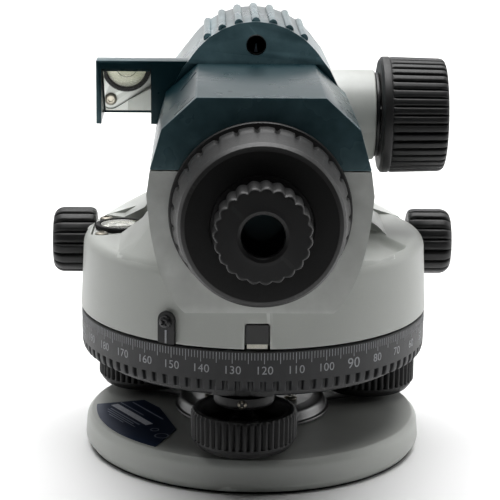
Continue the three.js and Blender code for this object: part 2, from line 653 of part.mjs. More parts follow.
function vialCup() {
  const { ringRadius, glassRadius } = VIAL;
  const plateTop = DRUM.shoulder - 1;
  return turned([
    [0, 66], [ringRadius - 1.2, 66], [ringRadius - 1.2, plateTop + 0.2], [ringRadius, plateTop + 0.2],
    [ringRadius, plateTop + 2.6], [glassRadius + 0.3, plateTop + 2.6], [glassRadius + 0.3, 67.2], [0, 67.2],
  ]).translate([VIAL.x, VIAL.y, 0]);
}

function vialGlass() {
  const top = DRUM.shoulder + 1.2;
  return turned([
    [0, 67.5], [VIAL.glassRadius, 67.5], [VIAL.glassRadius, top], [4, top + 0.3], [0, top + 0.4],
  ]).translate([VIAL.x, VIAL.y, 0]);
}

function vialScrew(spot) {
  const plateTop = DRUM.shoulder - 1;
  const screw = turned([
    [0, plateTop - 1], [1.2, plateTop - 1], [1.2, plateTop + 0.2], [2.5, plateTop + 0.2],
    [2.5, plateTop + 1.6], [2.1, plateTop + 2], [0, plateTop + 2],
  ], 16);
  const slot = box(-1.5, 1.5, -0.4, 0.4, plateTop + 1, plateTop + 3);
  const slots = [0, 90].map((angle) => slot.rotate([0, 0, angle]));
  return cut(screw, ...slots).translate([spot.x, spot.y, 0]);
}

// The mirror leans at 45 degrees, so that the bubble below is seen from the eyepiece end.
function mirrorPlate(thickness, inset, offset) {
  const { left, wall, lean } = MIRROR_BOX;
  const middle = 7;
  return box(left + wall + inset, -34 - inset, -11.5 + inset, 11.5 - inset, offset, offset + thickness)
    .rotate([-45, 0, 0]).translate([0, middle, lean - middle]);
}

addPiece('vial_plate', vialPlate(), BLACK_PLASTIC);
addPiece('vial_cup', vialCup(), BLACK_PLASTIC);
addPiece('vial_glass', vialGlass(), GLASS);
for (const [name, angle] of Object.entries(VIAL_SCREWS)) {
  addPiece(`vial_screw_${name}`, vialScrew(vialSpot(angle)), STEEL);
}
addPiece('mirror', mirrorPlate(1, 0.5, -1), MIRROR);
addPiece('mirror_backing', mirrorPlate(0.9, 0.35, 0.2), BLACK_PLASTIC);

// ---- Compensator check button and the index mark ----
function checkButton() {
  const { z, radius } = BUTTON;
  return join(
    acrossY(radius, -57.4, -50, 0, z, 24), acrossY(1.4, -51, -38, 0, z, 20), acrossY(2.4, -41, -39, 0, z, 20),
  );
}

function indexPlate() {
  const { bearing, width, low, high } = INDEX;
  const plate = join(
    box(-width / 2, width / 2, -59.4, -58.2, low, high - width / 2),
    acrossY(width / 2, -59.4, -58.2, 0, high - width / 2, 24),
  );
  return cut(plate, acrossY(1.3, -70, -50, 0, high - 3.4, 16)).rotate([0, 0, -bearing]);
}

addPiece('check_button', checkButton(), BLACK_PLASTIC);
addPiece('index_plate', indexPlate(), BLACK_PLASTIC);
const indexScrew = acrossY(2, -60.6, -59.6, 0, INDEX.high - 3.4, 20).rotate([0, 0, -INDEX.bearing]);
addPiece('index_screw', indexScrew, BLACK_PLASTIC);

export default level;
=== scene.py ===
"""The looks of the automatic level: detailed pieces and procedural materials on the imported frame.

Lengths are in millimetres in the code and become metres when a mesh is made.
"""

import math

import bmesh
import bpy
from mathutils import Matrix, Vector


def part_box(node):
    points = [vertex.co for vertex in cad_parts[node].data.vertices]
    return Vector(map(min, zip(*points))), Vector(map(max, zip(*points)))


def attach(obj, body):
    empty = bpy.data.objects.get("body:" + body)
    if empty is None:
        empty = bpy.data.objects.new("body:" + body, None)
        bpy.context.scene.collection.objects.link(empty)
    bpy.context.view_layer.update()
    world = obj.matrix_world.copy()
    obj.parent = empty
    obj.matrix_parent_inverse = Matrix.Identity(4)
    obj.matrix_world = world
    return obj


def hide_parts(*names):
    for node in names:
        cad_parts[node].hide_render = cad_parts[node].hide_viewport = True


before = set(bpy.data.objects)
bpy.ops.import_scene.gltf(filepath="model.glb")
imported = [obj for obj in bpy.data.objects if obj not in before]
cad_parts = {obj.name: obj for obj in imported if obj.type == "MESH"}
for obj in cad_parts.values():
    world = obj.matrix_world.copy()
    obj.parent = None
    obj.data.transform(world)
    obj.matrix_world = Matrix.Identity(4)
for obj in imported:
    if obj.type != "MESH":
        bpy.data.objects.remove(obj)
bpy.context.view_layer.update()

MM = 0.001


# ---- Sizes, from the frame ----

def span(node):
    """The lowest and highest corners of a CAD node, in millimetres."""
    low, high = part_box(node)
    return Vector(low) / MM, Vector(high) / MM


def middle(node):
    low, high = span(node)
    return (low + high) / 2


BASE_HIGH = span("base_plate")[1]
CIRCLE_LOW, CIRCLE_HIGH = span("horizontal_circle")
CAST_LOW, CAST_HIGH = span("main_casting")
COVER_LOW = span("top_cover")[0]
RING_LOW = span("diopter_ring")[0]
GUARD_HIGH = span("eyepiece_guard")[1]
CELL_HIGH = span("objective_cell")[1]
KNOB_LOW, KNOB_HIGH = span("focus_knob")

BASE_RADIUS = BASE_HIGH.x
CIRCLE_RADIUS = CIRCLE_HIGH.x
DRUM_RADIUS = CAST_HIGH.x
DRUM_LOW = CAST_LOW.z
SHOULDER_Z = 73.5
SIGHT_Z = middle("diopter_ring").z  # height of the line of sight
PEEP_Z = 136.0  # height of the sight tunnel
REAR_Y = CAST_LOW.y  # rear face of the telescope
FRONT_Y = CAST_HIGH.y
PARTING_Z = COVER_LOW.z - 0.3  # top of the grey casting
FOOT_CENTRES = {name: middle(f"foot_screw_{name}") for name in ("front", "right", "left")}
FOCUS_CENTRE = middle("focus_knob")
DRIVE_CENTRE = middle("drive_shaft")
VIAL_CENTRE = middle("vial_cup")
BUTTON_Z = middle("check_button").z


# ---- Meshes ----

def set_sharp(bm, degrees=34):
    """Shades every face smooth, with edges steeper than this kept sharp."""
    limit = math.radians(degrees)
    for face in bm.faces:
        face.smooth = True
    for edge in bm.edges:
        if len(edge.link_faces) == 2:
            edge.smooth = edge.calc_face_angle(0.0) < limit


def finish_mesh(name, bm, degrees=34):
    """A scene object from a bmesh in millimetres."""
    bmesh.ops.recalc_face_normals(bm, faces=bm.faces)
    set_sharp(bm, degrees)
    bmesh.ops.scale(bm, vec=(MM, MM, MM), verts=bm.verts)
    mesh = bpy.data.meshes.new(name)
    bm.to_mesh(mesh)
    bm.free()
    piece = bpy.data.objects.new(name, mesh)
    bpy.context.scene.collection.objects.link(piece)
    return piece


def rounded(corners, steps=5):
    """An outline with its corners rounded: each corner is (a, b) or (a, b, radius)."""
    points = []
    count = len(corners)
    for i, corner in enumerate(corners):
        here = Vector(corner[:2])
        radius = corner[2] if len(corner) > 2 else 0
        before = Vector(corners[i - 1][:2]) - here
        after = Vector(corners[(i + 1) % count][:2]) - here
        if not radius or before.length < 1e-6 or after.length < 1e-6:
            points.append(here)
            continue
        half = before.angle(after) / 2
        reach = min(radius / math.tan(half), before.length * 0.49, after.length * 0.49)
        radius = reach * math.tan(half)
        start = here + before.normalized() * reach
        end = here + after.normalized() * reach
        centre = here + (before.normalized() + after.normalized()).normalized() * (radius / math.sin(half))
        first, last = start - centre, end - centre
        turn = first.angle_signed(last)
        for k in range(steps + 1):
            angle = -turn * k / steps
            spoke = Vector((
                first.x * math.cos(angle) - first.y * math.sin(angle),
                first.x * math.sin(angle) + first.y * math.cos(angle),
            ))
            points.append(centre + spoke)
    return points


def lobes(sharpness=1.6):
    """Rounded ribs with narrow grooves between them: 0 on a rib, 1 in a groove."""
    return lambda turns: (1 - abs(math.sin(math.pi * turns))) ** sharpness


def slots(share=0.4, edge=0.1):
    """Flat ribs with straight-sided slots that take this share of the pitch."""
    def depth(turns):
        off = abs((turns % 1) - 0.5)
        return min(1, max(0, (off - (0.5 - share / 2 - edge / 2)) / edge))
    return depth


def turned(profile, segments=128, ribs=0, groove=None, per_rib=10, steps=5):
    """A bmesh of a profile turned about Z. Corners are (radius, height, rounding, groove depth)."""
    corners = [tuple(c) + (0,) * (4 - len(c)) for c in profile]
    plain = rounded([c[:3] for c in corners], steps)
    depths = []
    for i, corner in enumerate(corners):
        sharp = not corner[2]
        depths += [corner[3]] * (1 if sharp else steps + 1)
    if len(depths) != len(plain):
        depths = [0] * len(plain)
    if ribs:
        segments = ribs * per_rib
    bm = bmesh.new()
    rings = []
    for point, depth in zip(plain, depths):
        if point.x < 1e-5:
            rings.append([bm.verts.new((0, 0, point.y))])
            continue
        ring = []
        for k in range(segments):
            angle = 2 * math.pi * k / segments
            radius = point.x - (depth * groove(ribs * k / segments) if ribs and depth else 0)
            ring.append(bm.verts.new((radius * math.cos(angle), radius * math.sin(angle), point.y)))
        rings.append(ring)
    closed = plain[0].x > 1e-5 or plain[-1].x > 1e-5
    pairs = list(zip(rings, rings[1:])) + ([(rings[-1], rings[0])] if closed else [])
    for low, high in pairs:
        if len(low) == 1 and len(high) == 1:
            continue
        for k in range(segments):
            after = (k + 1) % segments
            if len(low) == 1:
                bm.faces.new((low[0], high[after], high[k]))
            elif len(high) == 1:
                bm.faces.new((low[k], low[after], high[0]))
            else:
                bm.faces.new((low[k], low[after], high[after], high[k]))
    return bm


def cylinder(radius, low, high, segments=64):
    return turned([(0, low), (radius, low), (radius, high), (0, high)], segments)


def flat_ring(inner, outer, low, high, x, y, segments=72):
    return moved(turned([(inner, low), (outer, low), (outer, high), (inner, high)], segments), x, y)


def bevelled(bm, width, segments=2, limit=25):
    edges = [e for e in bm.edges if len(e.link_faces) == 2 and e.calc_face_angle(0.0) > math.radians(limit)]
    bmesh.ops.bevel(bm, geom=edges, offset=width, segments=segments, affect="EDGES", profile=0.6)
    return bm


def prism(outline, low, high):
    """A bmesh of an (x, y) outline between two heights."""
    bm = bmesh.new()
    bottom = [bm.verts.new((p[0], p[1], low)) for p in outline]
    top = [bm.verts.new((p[0], p[1], high)) for p in outline]
    bm.faces.new(list(reversed(bottom)))
    bm.faces.new(top)
    for i in range(len(outline)):
        after = (i + 1) % len(outline)
        bm.faces.new((bottom[i], bottom[after], top[after], top[i]))
    return bm


def slab(x0, x1, y0, y1, z0, z1, round_edges=0.0, steps=3):
    """A bmesh block, its edges rounded if wanted."""
    bm = prism([(x0, y0), (x1, y0), (x1, y1), (x0, y1)], z0, z1)
    if round_edges:
        bmesh.ops.bevel(bm, geom=bm.edges[:], offset=round_edges, segments=steps, affect="EDGES", profile=0.5)
    return bm


def along_x(bm, side=1):
    """Turns a piece made along Z to lie along +X or -X."""
    bmesh.ops.rotate(bm, verts=bm.verts, cent=(0, 0, 0), matrix=Matrix.Rotation(side * math.pi / 2, 3, "Y"))
    return bm


def along_y(bm):
    """Turns a piece made along Z to lie along +Y."""
    bmesh.ops.rotate(bm, verts=bm.verts, cent=(0, 0, 0), matrix=Matrix.Rotation(-math.pi / 2, 3, "X"))
    return bm


def turned_by(bm, degrees, axis="Z", centre=(0, 0, 0)):
    matrix = Matrix.Rotation(math.radians(degrees), 3, axis)
    bmesh.ops.rotate(bm, verts=bm.verts, cent=centre, matrix=matrix)
    return bm


def moved(bm, x=0.0, y=0.0, z=0.0):
    bmesh.ops.translate(bm, verts=bm.verts, vec=(x, y, z))
    return bm


def on_sight_line(bm):
    return moved(along_y(bm), z=SIGHT_Z)


def on_focus_axis(bm):
    return moved(along_x(bm), y=FOCUS_CENTRE.y, z=FOCUS_CENTRE.z)


def on_drive_axis(bm, side=1):
    return moved(along_x(bm, side), y=DRIVE_CENTRE.y, z=DRIVE_CENTRE.z)


def on_peep_line(bm):
    return moved(along_y(bm), z=PEEP_Z)


def upright(outline, y0, y1):
    """A bmesh of an (x, z) outline between two places along Y."""
    bm = prism(outline, -y1, -y0)
    bmesh.ops.rotate(bm, verts=bm.verts, cent=(0, 0, 0), matrix=Matrix.Rotation(math.pi / 2, 3, "X"))
    return bm


def sideways(outline, x0, x1):
    """A bmesh of a (y, z) outline between two places along X."""
    bm = prism(outline, x0, x1)
    bmesh.ops.rotate(bm, verts=bm.verts, cent=(0, 0, 0), matrix=Matrix.Rotation(math.pi / 2, 3, "X"))
    bmesh.ops.rotate(bm, verts=bm.verts, cent=(0, 0, 0), matrix=Matrix.Rotation(math.pi / 2, 3, "Z"))
    return bm


def merge(*parts):
    """Several bmeshes as one."""
    whole = bmesh.new()
    for part in parts:
        mesh = bpy.data.meshes.new("part")
        part.to_mesh(mesh)
        whole.from_mesh(mesh)
        bpy.data.meshes.remove(mesh)
        part.free()
    return whole


def temporary(bm):
    bmesh.ops.recalc_face_normals(bm, faces=bm.faces)
    mesh = bpy.data.meshes.new("tool")
    bm.to_mesh(mesh)
    bm.free()
    tool = bpy.data.objects.new("tool", mesh)
    bpy.context.scene.collection.objects.link(tool)
    return tool


def carve(start, steps, soften=0.0, segments=2, angle=34):
    """start joined with ("+"), cut by ("-") or kept inside ("&") each tool in turn, as a bmesh.

    With soften, every steep edge of the result is rounded by that much.
    """
    operations = {"+": "UNION", "-": "DIFFERENCE", "&": "INTERSECT"}
    body = temporary(start)
    tools = []
    for sign, bm in steps:
        tool = temporary(bm)
        tools.append(tool)
        modifier = body.modifiers.new("carve", "BOOLEAN")
        modifier.operation = operations[sign]
        modifier.solver = "MANIFOLD"
        modifier.object = tool
    bpy.context.view_layer.update()
    result = bmesh.new()
    result.from_object(body, bpy.context.evaluated_depsgraph_get())
    for item in [body, *tools]:
        mesh = item.data
        bpy.data.objects.remove(item)
        bpy.data.meshes.remove(mesh)
    bmesh.ops.remove_doubles(result, verts=result.verts, dist=0.01)
    bmesh.ops.dissolve_limit(
        result, angle_limit=math.radians(0.6), verts=result.verts, edges=result.edges,
    )
    if soften:
        limit = math.radians(angle)
        edges = [e for e in result.edges if len(e.link_faces) == 2 and e.calc_face_angle(0.0) > limit]
        bmesh.ops.bevel(
            result, geom=edges, offset=soften, segments=segments, affect="EDGES",
            profile=0.6, clamp_overlap=True, miter_outer="ARC",
        )
    return result


# ---- Materials ----

class Nodes:
    """A material's node tree, with short calls for the few nodes used here."""

    def __init__(self, name):
        self.material = bpy.data.materials.new(name)
        self.material.use_nodes = True
        self.tree = self.material.node_tree
        self.shader = self.tree.nodes["Principled BSDF"]
        self.place = self.node("ShaderNodeTexCoord").outputs["Object"]

    def node(self, kind, **settings):
        made = self.tree.nodes.new(kind)
        for key, value in settings.items():
            setattr(made, key, value)
        return made

    def link(self, source, target):
        self.tree.links.new(source, target)

    def noise(self, scale, detail=3.0, roughness=0.55, place=None):
        made = self.node("ShaderNodeTexNoise")
        made.inputs["Scale"].default_value = scale
        made.inputs["Detail"].default_value = detail
        made.inputs["Roughness"].default_value = roughness
        self.link(place or self.place, made.inputs["Vector"])
        return made.outputs["Fac"]

    def ramp(self, source, low, high, to_low=0.0, to_high=1.0):
        made = self.node("ShaderNodeMapRange")
        made.inputs["From Min"].default_value = low
        made.inputs["From Max"].default_value = high
        made.inputs["To Min"].default_value = to_low
        made.inputs["To Max"].default_value = to_high
        self.link(source, made.inputs["Value"])
        return made.outputs["Result"]

    def math(self, operation, a, b):
        made = self.node("ShaderNodeMath", operation=operation)
        for socket, value in zip(made.inputs, (a, b)):
            if isinstance(value, (int, float)):
                socket.default_value = value
            else:
                self.link(value, socket)
        return made.outputs["Value"]

    def mix(self, factor, first, second):
        made = self.node("ShaderNodeMix", data_type="RGBA")
        for socket, value in zip(
            (made.inputs["Factor"], made.inputs["A"], made.inputs["B"]), (factor, first, second)
        ):
            if isinstance(value, tuple):
                socket.default_value = (*value, 1)
            elif isinstance(value, (int, float)):
                socket.default_value = value
            else:
                self.link(value, socket)
        return made.outputs["Result"]

    def edges(self, width=0.52):
        """1 on the outer edges, which get wear and a painted edge highlight, and 0 elsewhere."""
        return self.ramp(self.node("ShaderNodeNewGeometry").outputs["Pointiness"], width, width + 0.06)

    def bump(self, height, strength, distance):
        made = self.node("ShaderNodeBump")
        made.inputs["Strength"].default_value = strength
        made.inputs["Distance"].default_value = distance
        self.link(height, made.inputs["Height"])
        self.link(made.outputs["Normal"], self.shader.inputs["Normal"])

    def set(self, **values):
        for name, value in values.items():
            socket = self.shader.inputs[name.replace("_", " ")]
            if isinstance(value, tuple):
                socket.default_value = (*value, 1)
            elif isinstance(value, (int, float)):
                socket.default_value = value
            else:
                self.link(value, socket)


def paint(
    name, colour, worn_and_highlight_colour, roughness, grain=900.0, grain_depth=0.00003, coat=0.0, wear_and_highlight_amount=0.35, tint=(1, 1, 1)
):
    """Sprayed paint: fine orange peel, slight blotches, and paler outer edges that are partly rubbed wear and
    partly a painted edge highlight.
    """
    m = Nodes(name)
    blotch = m.noise(28.0, 4.0)
    speck = m.noise(2600.0, 2.0)
    tone = m.mix(m.ramp(blotch, 0.35, 0.7), tuple(c * 0.96 for c in colour), tuple(c * 1.03 for c in colour))
    tone = m.mix(m.ramp(speck, 0.62, 0.75, 0, 0.35), tone, tuple(c * 1.25 for c in colour))
    # Paler outer edges: partly rubbed wear, partly a painted edge highlight.
    rub_and_highlight = m.math("MULTIPLY", m.edges(), m.ramp(m.noise(160.0), 0.3, 0.7, wear_and_highlight_amount * 0.5, wear_and_highlight_amount))
    m.set(Base_Color=m.mix(rub_and_highlight, tone, worn_and_highlight_colour))
    m.set(Roughness=m.ramp(m.noise(60.0), 0.3, 0.7, roughness - 0.02, roughness + 0.03))
    m.set(Coat_Weight=coat, Coat_Roughness=0.3, Specular_Tint=tint)
    m.bump(m.noise(grain, 2.0), 0.5, grain_depth)
    return m.material


def moulded(name, colour, roughness, sparkle=0.4, grain=1500.0, depth=0.00004, specular=0.5):
    """Moulded black plastic with a fine spark-eroded texture, pale specks in the grain that are dust and
    painted glints, and paler outer edges that are wear and a painted rim highlight.
    """
    m = Nodes(name)
    grain_noise = m.noise(grain, 3.0, 0.7)
    # Pale specks in the grain: dust, and painted glints.
    dust_and_glints = m.ramp(m.noise(3400.0, 1.0), 0.66, 0.78, 0, sparkle)
    tone = m.mix(
        m.ramp(m.noise(45.0), 0.3, 0.7), tuple(c * 0.8 for c in colour), tuple(c * 1.2 for c in colour)
    )
    tone = m.mix(dust_and_glints, tone, tuple(min(1, c * 2.6) for c in colour))
    # Paler outer edges: partly wear, partly a painted rim highlight.
    rub_and_highlight = m.math("MULTIPLY", m.edges(), 0.25)
    m.set(Base_Color=m.mix(rub_and_highlight, tone, tuple(c * 3.2 + 0.015 for c in colour)))
    m.set(Roughness=m.ramp(grain_noise, 0.3, 0.7, roughness - 0.06, roughness + 0.08))
    m.set(Specular_IOR_Level=specular)
    m.bump(grain_noise, 0.6, depth)
    return m.material


def metal(name, colour, roughness, brushed=(400, 400, 4000), depth=0.00001):
    """Turned or brushed metal: fine streaks in colour, roughness and bump."""
    m = Nodes(name)
    stretch = m.node("ShaderNodeMapping")
    stretch.inputs["Scale"].default_value = brushed
    m.link(m.place, stretch.inputs["Vector"])
    streak = m.noise(1.0, 3.0, place=stretch.outputs["Vector"])
    m.set(Base_Color=m.mix(m.ramp(streak, 0.3, 0.7), tuple(c * 0.85 for c in colour), colour))
    m.set(Roughness=m.ramp(streak, 0.3, 0.7, roughness * 0.8, roughness * 1.3))
    m.set(Metallic=1.0)
    m.bump(streak, 0.3, depth)
    return m.material


def clear(name, colour, roughness=0.02, transmission=1.0, ior=1.5):
    """Glass with a faint tint and the smallest unevenness in its polish."""
    m = Nodes(name)
    haze = m.noise(90.0)
    m.set(Base_Color=m.mix(m.ramp(haze, 0.3, 0.7), tuple(c * 0.97 for c in colour), colour))
    m.set(Roughness=roughness, Transmission_Weight=transmission, IOR=ior)
    m.bump(haze, 0.05, 0.00001)
    return m.material


def ink(name, colour):
    """Printed or filled marks, a little uneven."""
    m = Nodes(name)
    patch = m.noise(2200.0, 2.0)
    m.set(Base_Color=m.mix(m.ramp(patch, 0.35, 0.65), tuple(c * 0.8 for c in colour), colour))
    m.set(Roughness=0.55)
    m.bump(patch, 0.2, 0.00001)
    return m.material


# Each paint's second colour goes on its outer edges: rubbed wear and a painted edge highlight.
GREY = paint("grey_paint", (0.43, 0.445, 0.42), (0.74, 0.76, 0.73), 0.42, coat=0.15, wear_and_highlight_amount=0.8)
TEAL = paint(
    "teal_paint", (0.0035, 0.020, 0.026), (0.24, 0.40, 0.45), 0.28, grain=1400.0, wear_and_highlight_amount=0.4,
    tint=(0.70, 0.95, 1.0)
)
BLACK = moulded("black_plastic", (0.0085, 0.0085, 0.0088), 0.46, specular=0.42)
GUARD_BLACK = moulded("guard_black", (0.022, 0.022, 0.022), 0.44, sparkle=0.8, grain=1100.0)
DISC_BLACK = moulded("disc_black", (0.007, 0.007, 0.007), 0.6, sparkle=0.1, specular=0.25)
CIRCLE_BLACK = moulded("circle_black", (0.014, 0.0145, 0.016), 0.46, sparkle=0.2)
ANODISED = moulded("anodised_black", (0.012, 0.012, 0.013), 0.3, sparkle=0.05, grain=2600.0, depth=0.00001)
STEEL = metal("brushed_steel", (0.30, 0.30, 0.30), 0.36)
SCREW = metal("nickel_screws", (0.27, 0.25, 0.21), 0.34)
BRASS = metal("brass", (0.66, 0.50, 0.25), 0.28)
OPTIC = clear("optical_glass", (0.80, 0.90, 0.88))
VIAL_LIQUID = ink("vial_liquid", (0.80, 0.80, 0.66))
WHITE_INK = ink("white_ink", (0.40, 0.41, 0.43))
IVORY = ink("ivory_plastic", (0.80, 0.78, 0.68))
NAVY = paint("navy_label", (0.007, 0.017, 0.045), (0.05, 0.06, 0.10), 0.35, wear_and_highlight_amount=0.2, tint=(0.3, 0.45, 0.9))
LABEL_WHITE = ink("label_white", (0.80, 0.83, 0.90))
SILVER_FOIL = paint("silver_foil", (0.26, 0.31, 0.42), (0.5, 0.5, 0.55), 0.3, coat=0.2)


def mirror_material():
    m = Nodes("silvered_mirror")
    m.set(Base_Color=m.mix(m.noise(40.0), (0.86, 0.87, 0.85), (0.90, 0.91, 0.90)))
    m.set(Metallic=1.0, Roughness=0.03)
    return m.material


def vial_cover_material():
    m = Nodes("vial_cover_glass")
    m.set(Base_Color=m.mix(m.noise(60.0), (0.93, 0.94, 0.86), (0.97, 0.97, 0.92)))
    m.set(Roughness=0.04, Transmission_Weight=0.9, IOR=1.3)
    return m.material


def coated_material():
    """Lens glass with a faint green and violet coating over a dark interior."""
    m = Nodes("coated_lens")
    m.set(Base_Color=m.mix(m.noise(25.0), (0.030, 0.055, 0.050), (0.050, 0.035, 0.065)))
    m.set(Roughness=0.04, Coat_Weight=1.0, Coat_Roughness=0.02, Coat_Tint=(0.55, 0.75, 0.70))
    return m.material


MIRROR = mirror_material()
COATED = coated_material()
VIAL_COVER = vial_cover_material()


def piece(name, bm, look, body, slot, replaces=(), degrees=34):
    """Makes a piece: its mesh, material, body and the CAD nodes that it stands for. The slot argument is not
    used.
    """
    made = finish_mesh(name, bm, degrees)
    made.data.materials.append(look)
    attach(made, body)
    if replaces:
        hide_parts(*replaces)
    return made


# ---- Foot ----

def base_plate():
    low, high = 0.0, BASE_HIGH.z
    radius = BASE_RADIUS
    return turned([
        (7.9, low, 0.3), (20, low, 0.3), (20, 3), (34, 3), (34, low, 0.3), (radius - 1.8, low + 0.7, 0.4),
        (radius, low + 3.2, 2.5), (radius - 0.5, high - 1.6, 3), (radius - 2.0, high, 0.9), (
            radius - 8, high, 0.5
        ),
        (7.9, high, 0.3),
    ], 192)


def base_skirt():
    """A thin dark pad under the rim of the base plate: painted shadow for the shade beneath the rim."""
    radius = BASE_RADIUS
    return turned(
        [(35, 0.05), (radius - 2.1, 0.05, 0.15), (radius - 1.5, 0.68, 0.1), (radius - 3, 0.68)], 160
    )


def label_outline(outer, start, end, steps=28):
    """An arc along the rim, closed by straight edges on the inner side."""
    arc = [math.radians(start + (end - start) * i / steps) for i in range(steps + 1)]
    rim = [(outer * math.cos(a), outer * math.sin(a)) for a in arc]
    return rim + [(-25.5, -25.0), (-31.5, -3.0), (-37.0, 5.5)]


def base_sockets():
    return [("-", moved(cylinder(6.2, 3, 20, 48), spot.x, spot.y)) for spot in FOOT_CENTRES.values()]


piece("base_plate_cast", carve(base_plate(), base_sockets()), GREY, "foot", "grey_paint", ["base_plate"])
# A dark pad standing for the shadow under the base plate's rim.
piece("base_shadow_pad", base_skirt(), DISC_BLACK, "foot", "black_plastic")
LABEL_Z = BASE_HIGH.z + 0.04
piece(
    "data_label", prism(label_outline(BASE_RADIUS - 3.6, 179, 233), LABEL_Z, LABEL_Z + 0.22),
    NAVY, "foot", "navy_label", ["base_label"],
)


LABEL_START, LABEL_ALONG = Vector((-47.0, 0.2)), Vector((0.513, -0.858))


def label_rule(offset, start, end, width):
    """A straight bar beside the axis of the print; offset is towards the rim."""
    across = Vector((LABEL_ALONG.y, -LABEL_ALONG.x))
    corners = []
    for along, side in ((start, -1), (end, -1), (end, 1), (start, 1)):
        corners.append(LABEL_START + LABEL_ALONG * along + across * (offset + side * width / 2))
    top = LABEL_Z + 0.22
    return prism(corners, top, top + 0.05)


def label_ring(x, y, radius, width):
    top = LABEL_Z + 0.22
    return flat_ring(radius - width, radius, top, top + 0.05, x, y, 32)


rules = [label_rule(*row) for row in (
    (3.0, 3, 23, 0.55), (4.2, 3, 21, 0.4), (5.3, 5, 24, 0.4), (6.4, 8, 18, 0.4), (-3.0, -1, 15, 0.4),
    (-6.6, 1, 22, 0.5),
)]
rules += [label_ring(-32.6, -26.0, 1.5, 0.35), label_ring(-30.2, -32.0, 2.4, 0.4)]
piece("label_bar", label_rule(0, 0, 24.4, 2.7), LABEL_WHITE, "foot", "navy_label")
piece("label_rules", merge(*rules), SILVER_FOIL, "foot", "navy_label")


def spring_plate():
    low = span("spring_plate")[0].z
    hub = turned([
        (9, low + 4, 0.2), (19.5, low + 4, 1.2), (23.6, low, 0.4), (26.2, low, 0.3), (26.2, low + 1, 0.3),
        (25.2, low + 1.1, 1.5), (24.4, low + 4.4, 1.6), (20.6, low + 5, 0.8), (9, low + 5, 0.2),
    ], 144)
    arms = []
    for spot in FOOT_CENTRES.values():
        reach = math.hypot(spot.x, spot.y)
        angle = math.degrees(math.atan2(spot.y, spot.x))
        bar = slab(23.5, reach, -6, 6, low, low + 1)
        eye = moved(cylinder(7.5, low, low + 1, 48), reach)
        hole = moved(cylinder(4.2, low - 1, low + 2, 40), reach)
        arms += [("+", turned_by(bar, angle)), ("+", turned_by(eye, angle)), ("-", turned_by(hole, angle))]
    return carve(hub, arms, 0.15)


piece("spring_plate_steel", spring_plate(), STEEL, "foot", "steel", ["spring_plate"])


def screw_head(radius, low, high, drive="cross", dome=0.4):
    """A screw head about Z with a cross or hexagon recess."""
    head = turned(
        [(0, low), (radius, low, 0.1), (radius, high - dome, dome), (radius * 0.6, high, 0.5), (0, high)],
        40
    )
    if drive == "cross":
        tools = [
            ("-", turned_by(slab(-radius * 0.62, radius * 0.62, -0.22, 0.22, high - 0.8, high + 1), a))
            for a in (45, 135)
        ]
        tools.append(
            ("-", turned([(0, high - 0.9), (0.25, high - 0.9), (0.7, high + 0.2), (0, high + 0.2)], 16))
        )
    else:
        tools = [("-", cylinder(radius * 0.5, high - 0.9, high + 1, 6))]
    return carve(head, tools, 0.05, 1)


for name in FOOT_CENTRES:
    low, high = span(f"spring_plate_screw_{name}")
    spot = (low + high) / 2
    head = moved(screw_head(2.2, low.z, high.z), spot.x, spot.y)
    piece(f"plate_screw_{name}", head, SCREW, "foot", "steel", [f"spring_plate_screw_{name}"])


def foot_knob():
    """Fine ribs over a plain chamfered foot, with a dished top."""
    low, high = span("foot_knob_front")[0].z, span("foot_knob_front")[1].z
    radius = 17.0
    return turned([
        (3.4, low, 0.2), (14.8, low, 0.8), (radius - 0.75, low + 1.9, 0.8), (radius - 0.75, low + 2.7),
        (radius - 0.1, low + 3.0, 0, 0.0), (radius, low + 3.4, 0, 1.0), (radius, high - 1.2, 0, 1.0),
        (radius - 0.35, high - 0.7, 0, 0.6), (radius - 0.8, high - 0.2, 0, 0.0), (radius - 1.3, high, 0.3),
        (14.6, high, 0.3), (14.0, high - 0.9, 0.3), (12.9, 20.2, 1.2), (5.2, 20.0, 0.4), (3.4, 20, 0.1),
    ], ribs=46, groove=lobes(0.9), per_rib=8)


def foot_stud():
    """The screw's ball, neck and threaded stud."""
    low, high = 3.2, 41.0
    ball = [(5 * math.sin(math.radians(a)), 8.2 - 5 * math.cos(math.radians(a))) for a in range(0, 141, 10)]
    profile = ball + [(3.0, 12.4), (3.0, 20.4), (4.6, 20.5, 0.3), (4.6, 22.4, 0.3), (3.0, 22.6)]
    pitch = 0.8
    turns = int((high - 24) / pitch)
    for i in range(turns):
        z = 23 + i * pitch
        profile += [(3.0, z + 0.1), (2.62, z + 0.4), (3.0, z + 0.7)]
    profile += [(3.0, high - 0.8), (2.4, high), (0, high)]
    return turned([tuple(p) for p in profile], 48)


def foot_nut():
    """The boss above a foot knob; its clamp screw sits on its side."""
    low, high = span("foot_screw_nut_front")[0].z, span("foot_screw_nut_front")[1].z
    radius = 9.7
    return turned([
        (5.2, low, 0.2), (radius - 1.0, low, 0.8), (radius - 0.3, low + 0.4, 0.4), (radius, low + 1.2, 0.3),
        (radius, 31.2, 0.2), (radius - 2, 31.2), (radius - 2, high, 0.3), (5.2, high, 0.2),
    ], 96)


for name, spot in FOOT_CENTRES.items():
    body = f"foot_screw_{name}"
    piece(
        f"foot_grip_{name}", moved(foot_knob(), spot.x, spot.y), BLACK, body, "black_plastic",
        [f"foot_knob_{name}"]
    )
    piece(
        f"foot_stud_{name}", moved(foot_stud(), spot.x, spot.y), ANODISED, body, "steel",
        [f"foot_screw_{name}"]
    )
    piece(
        f"foot_nut_{name}", moved(foot_nut(), spot.x, spot.y), BLACK, "tribrach", "black_plastic",
        [f"foot_screw_nut_{name}"]
    )
    outward = math.degrees(math.atan2(spot.y, spot.x))
    clamp = moved(along_x(screw_head(1.5, 0, 1.0)), 9.3)
    clamp = moved(turned_by(moved(clamp, z=29.4), outward), spot.x, spot.y)
    piece(f"nut_screw_{name}", clamp, SCREW, "tribrach", "steel")


# ---- Tribrach and circle ----

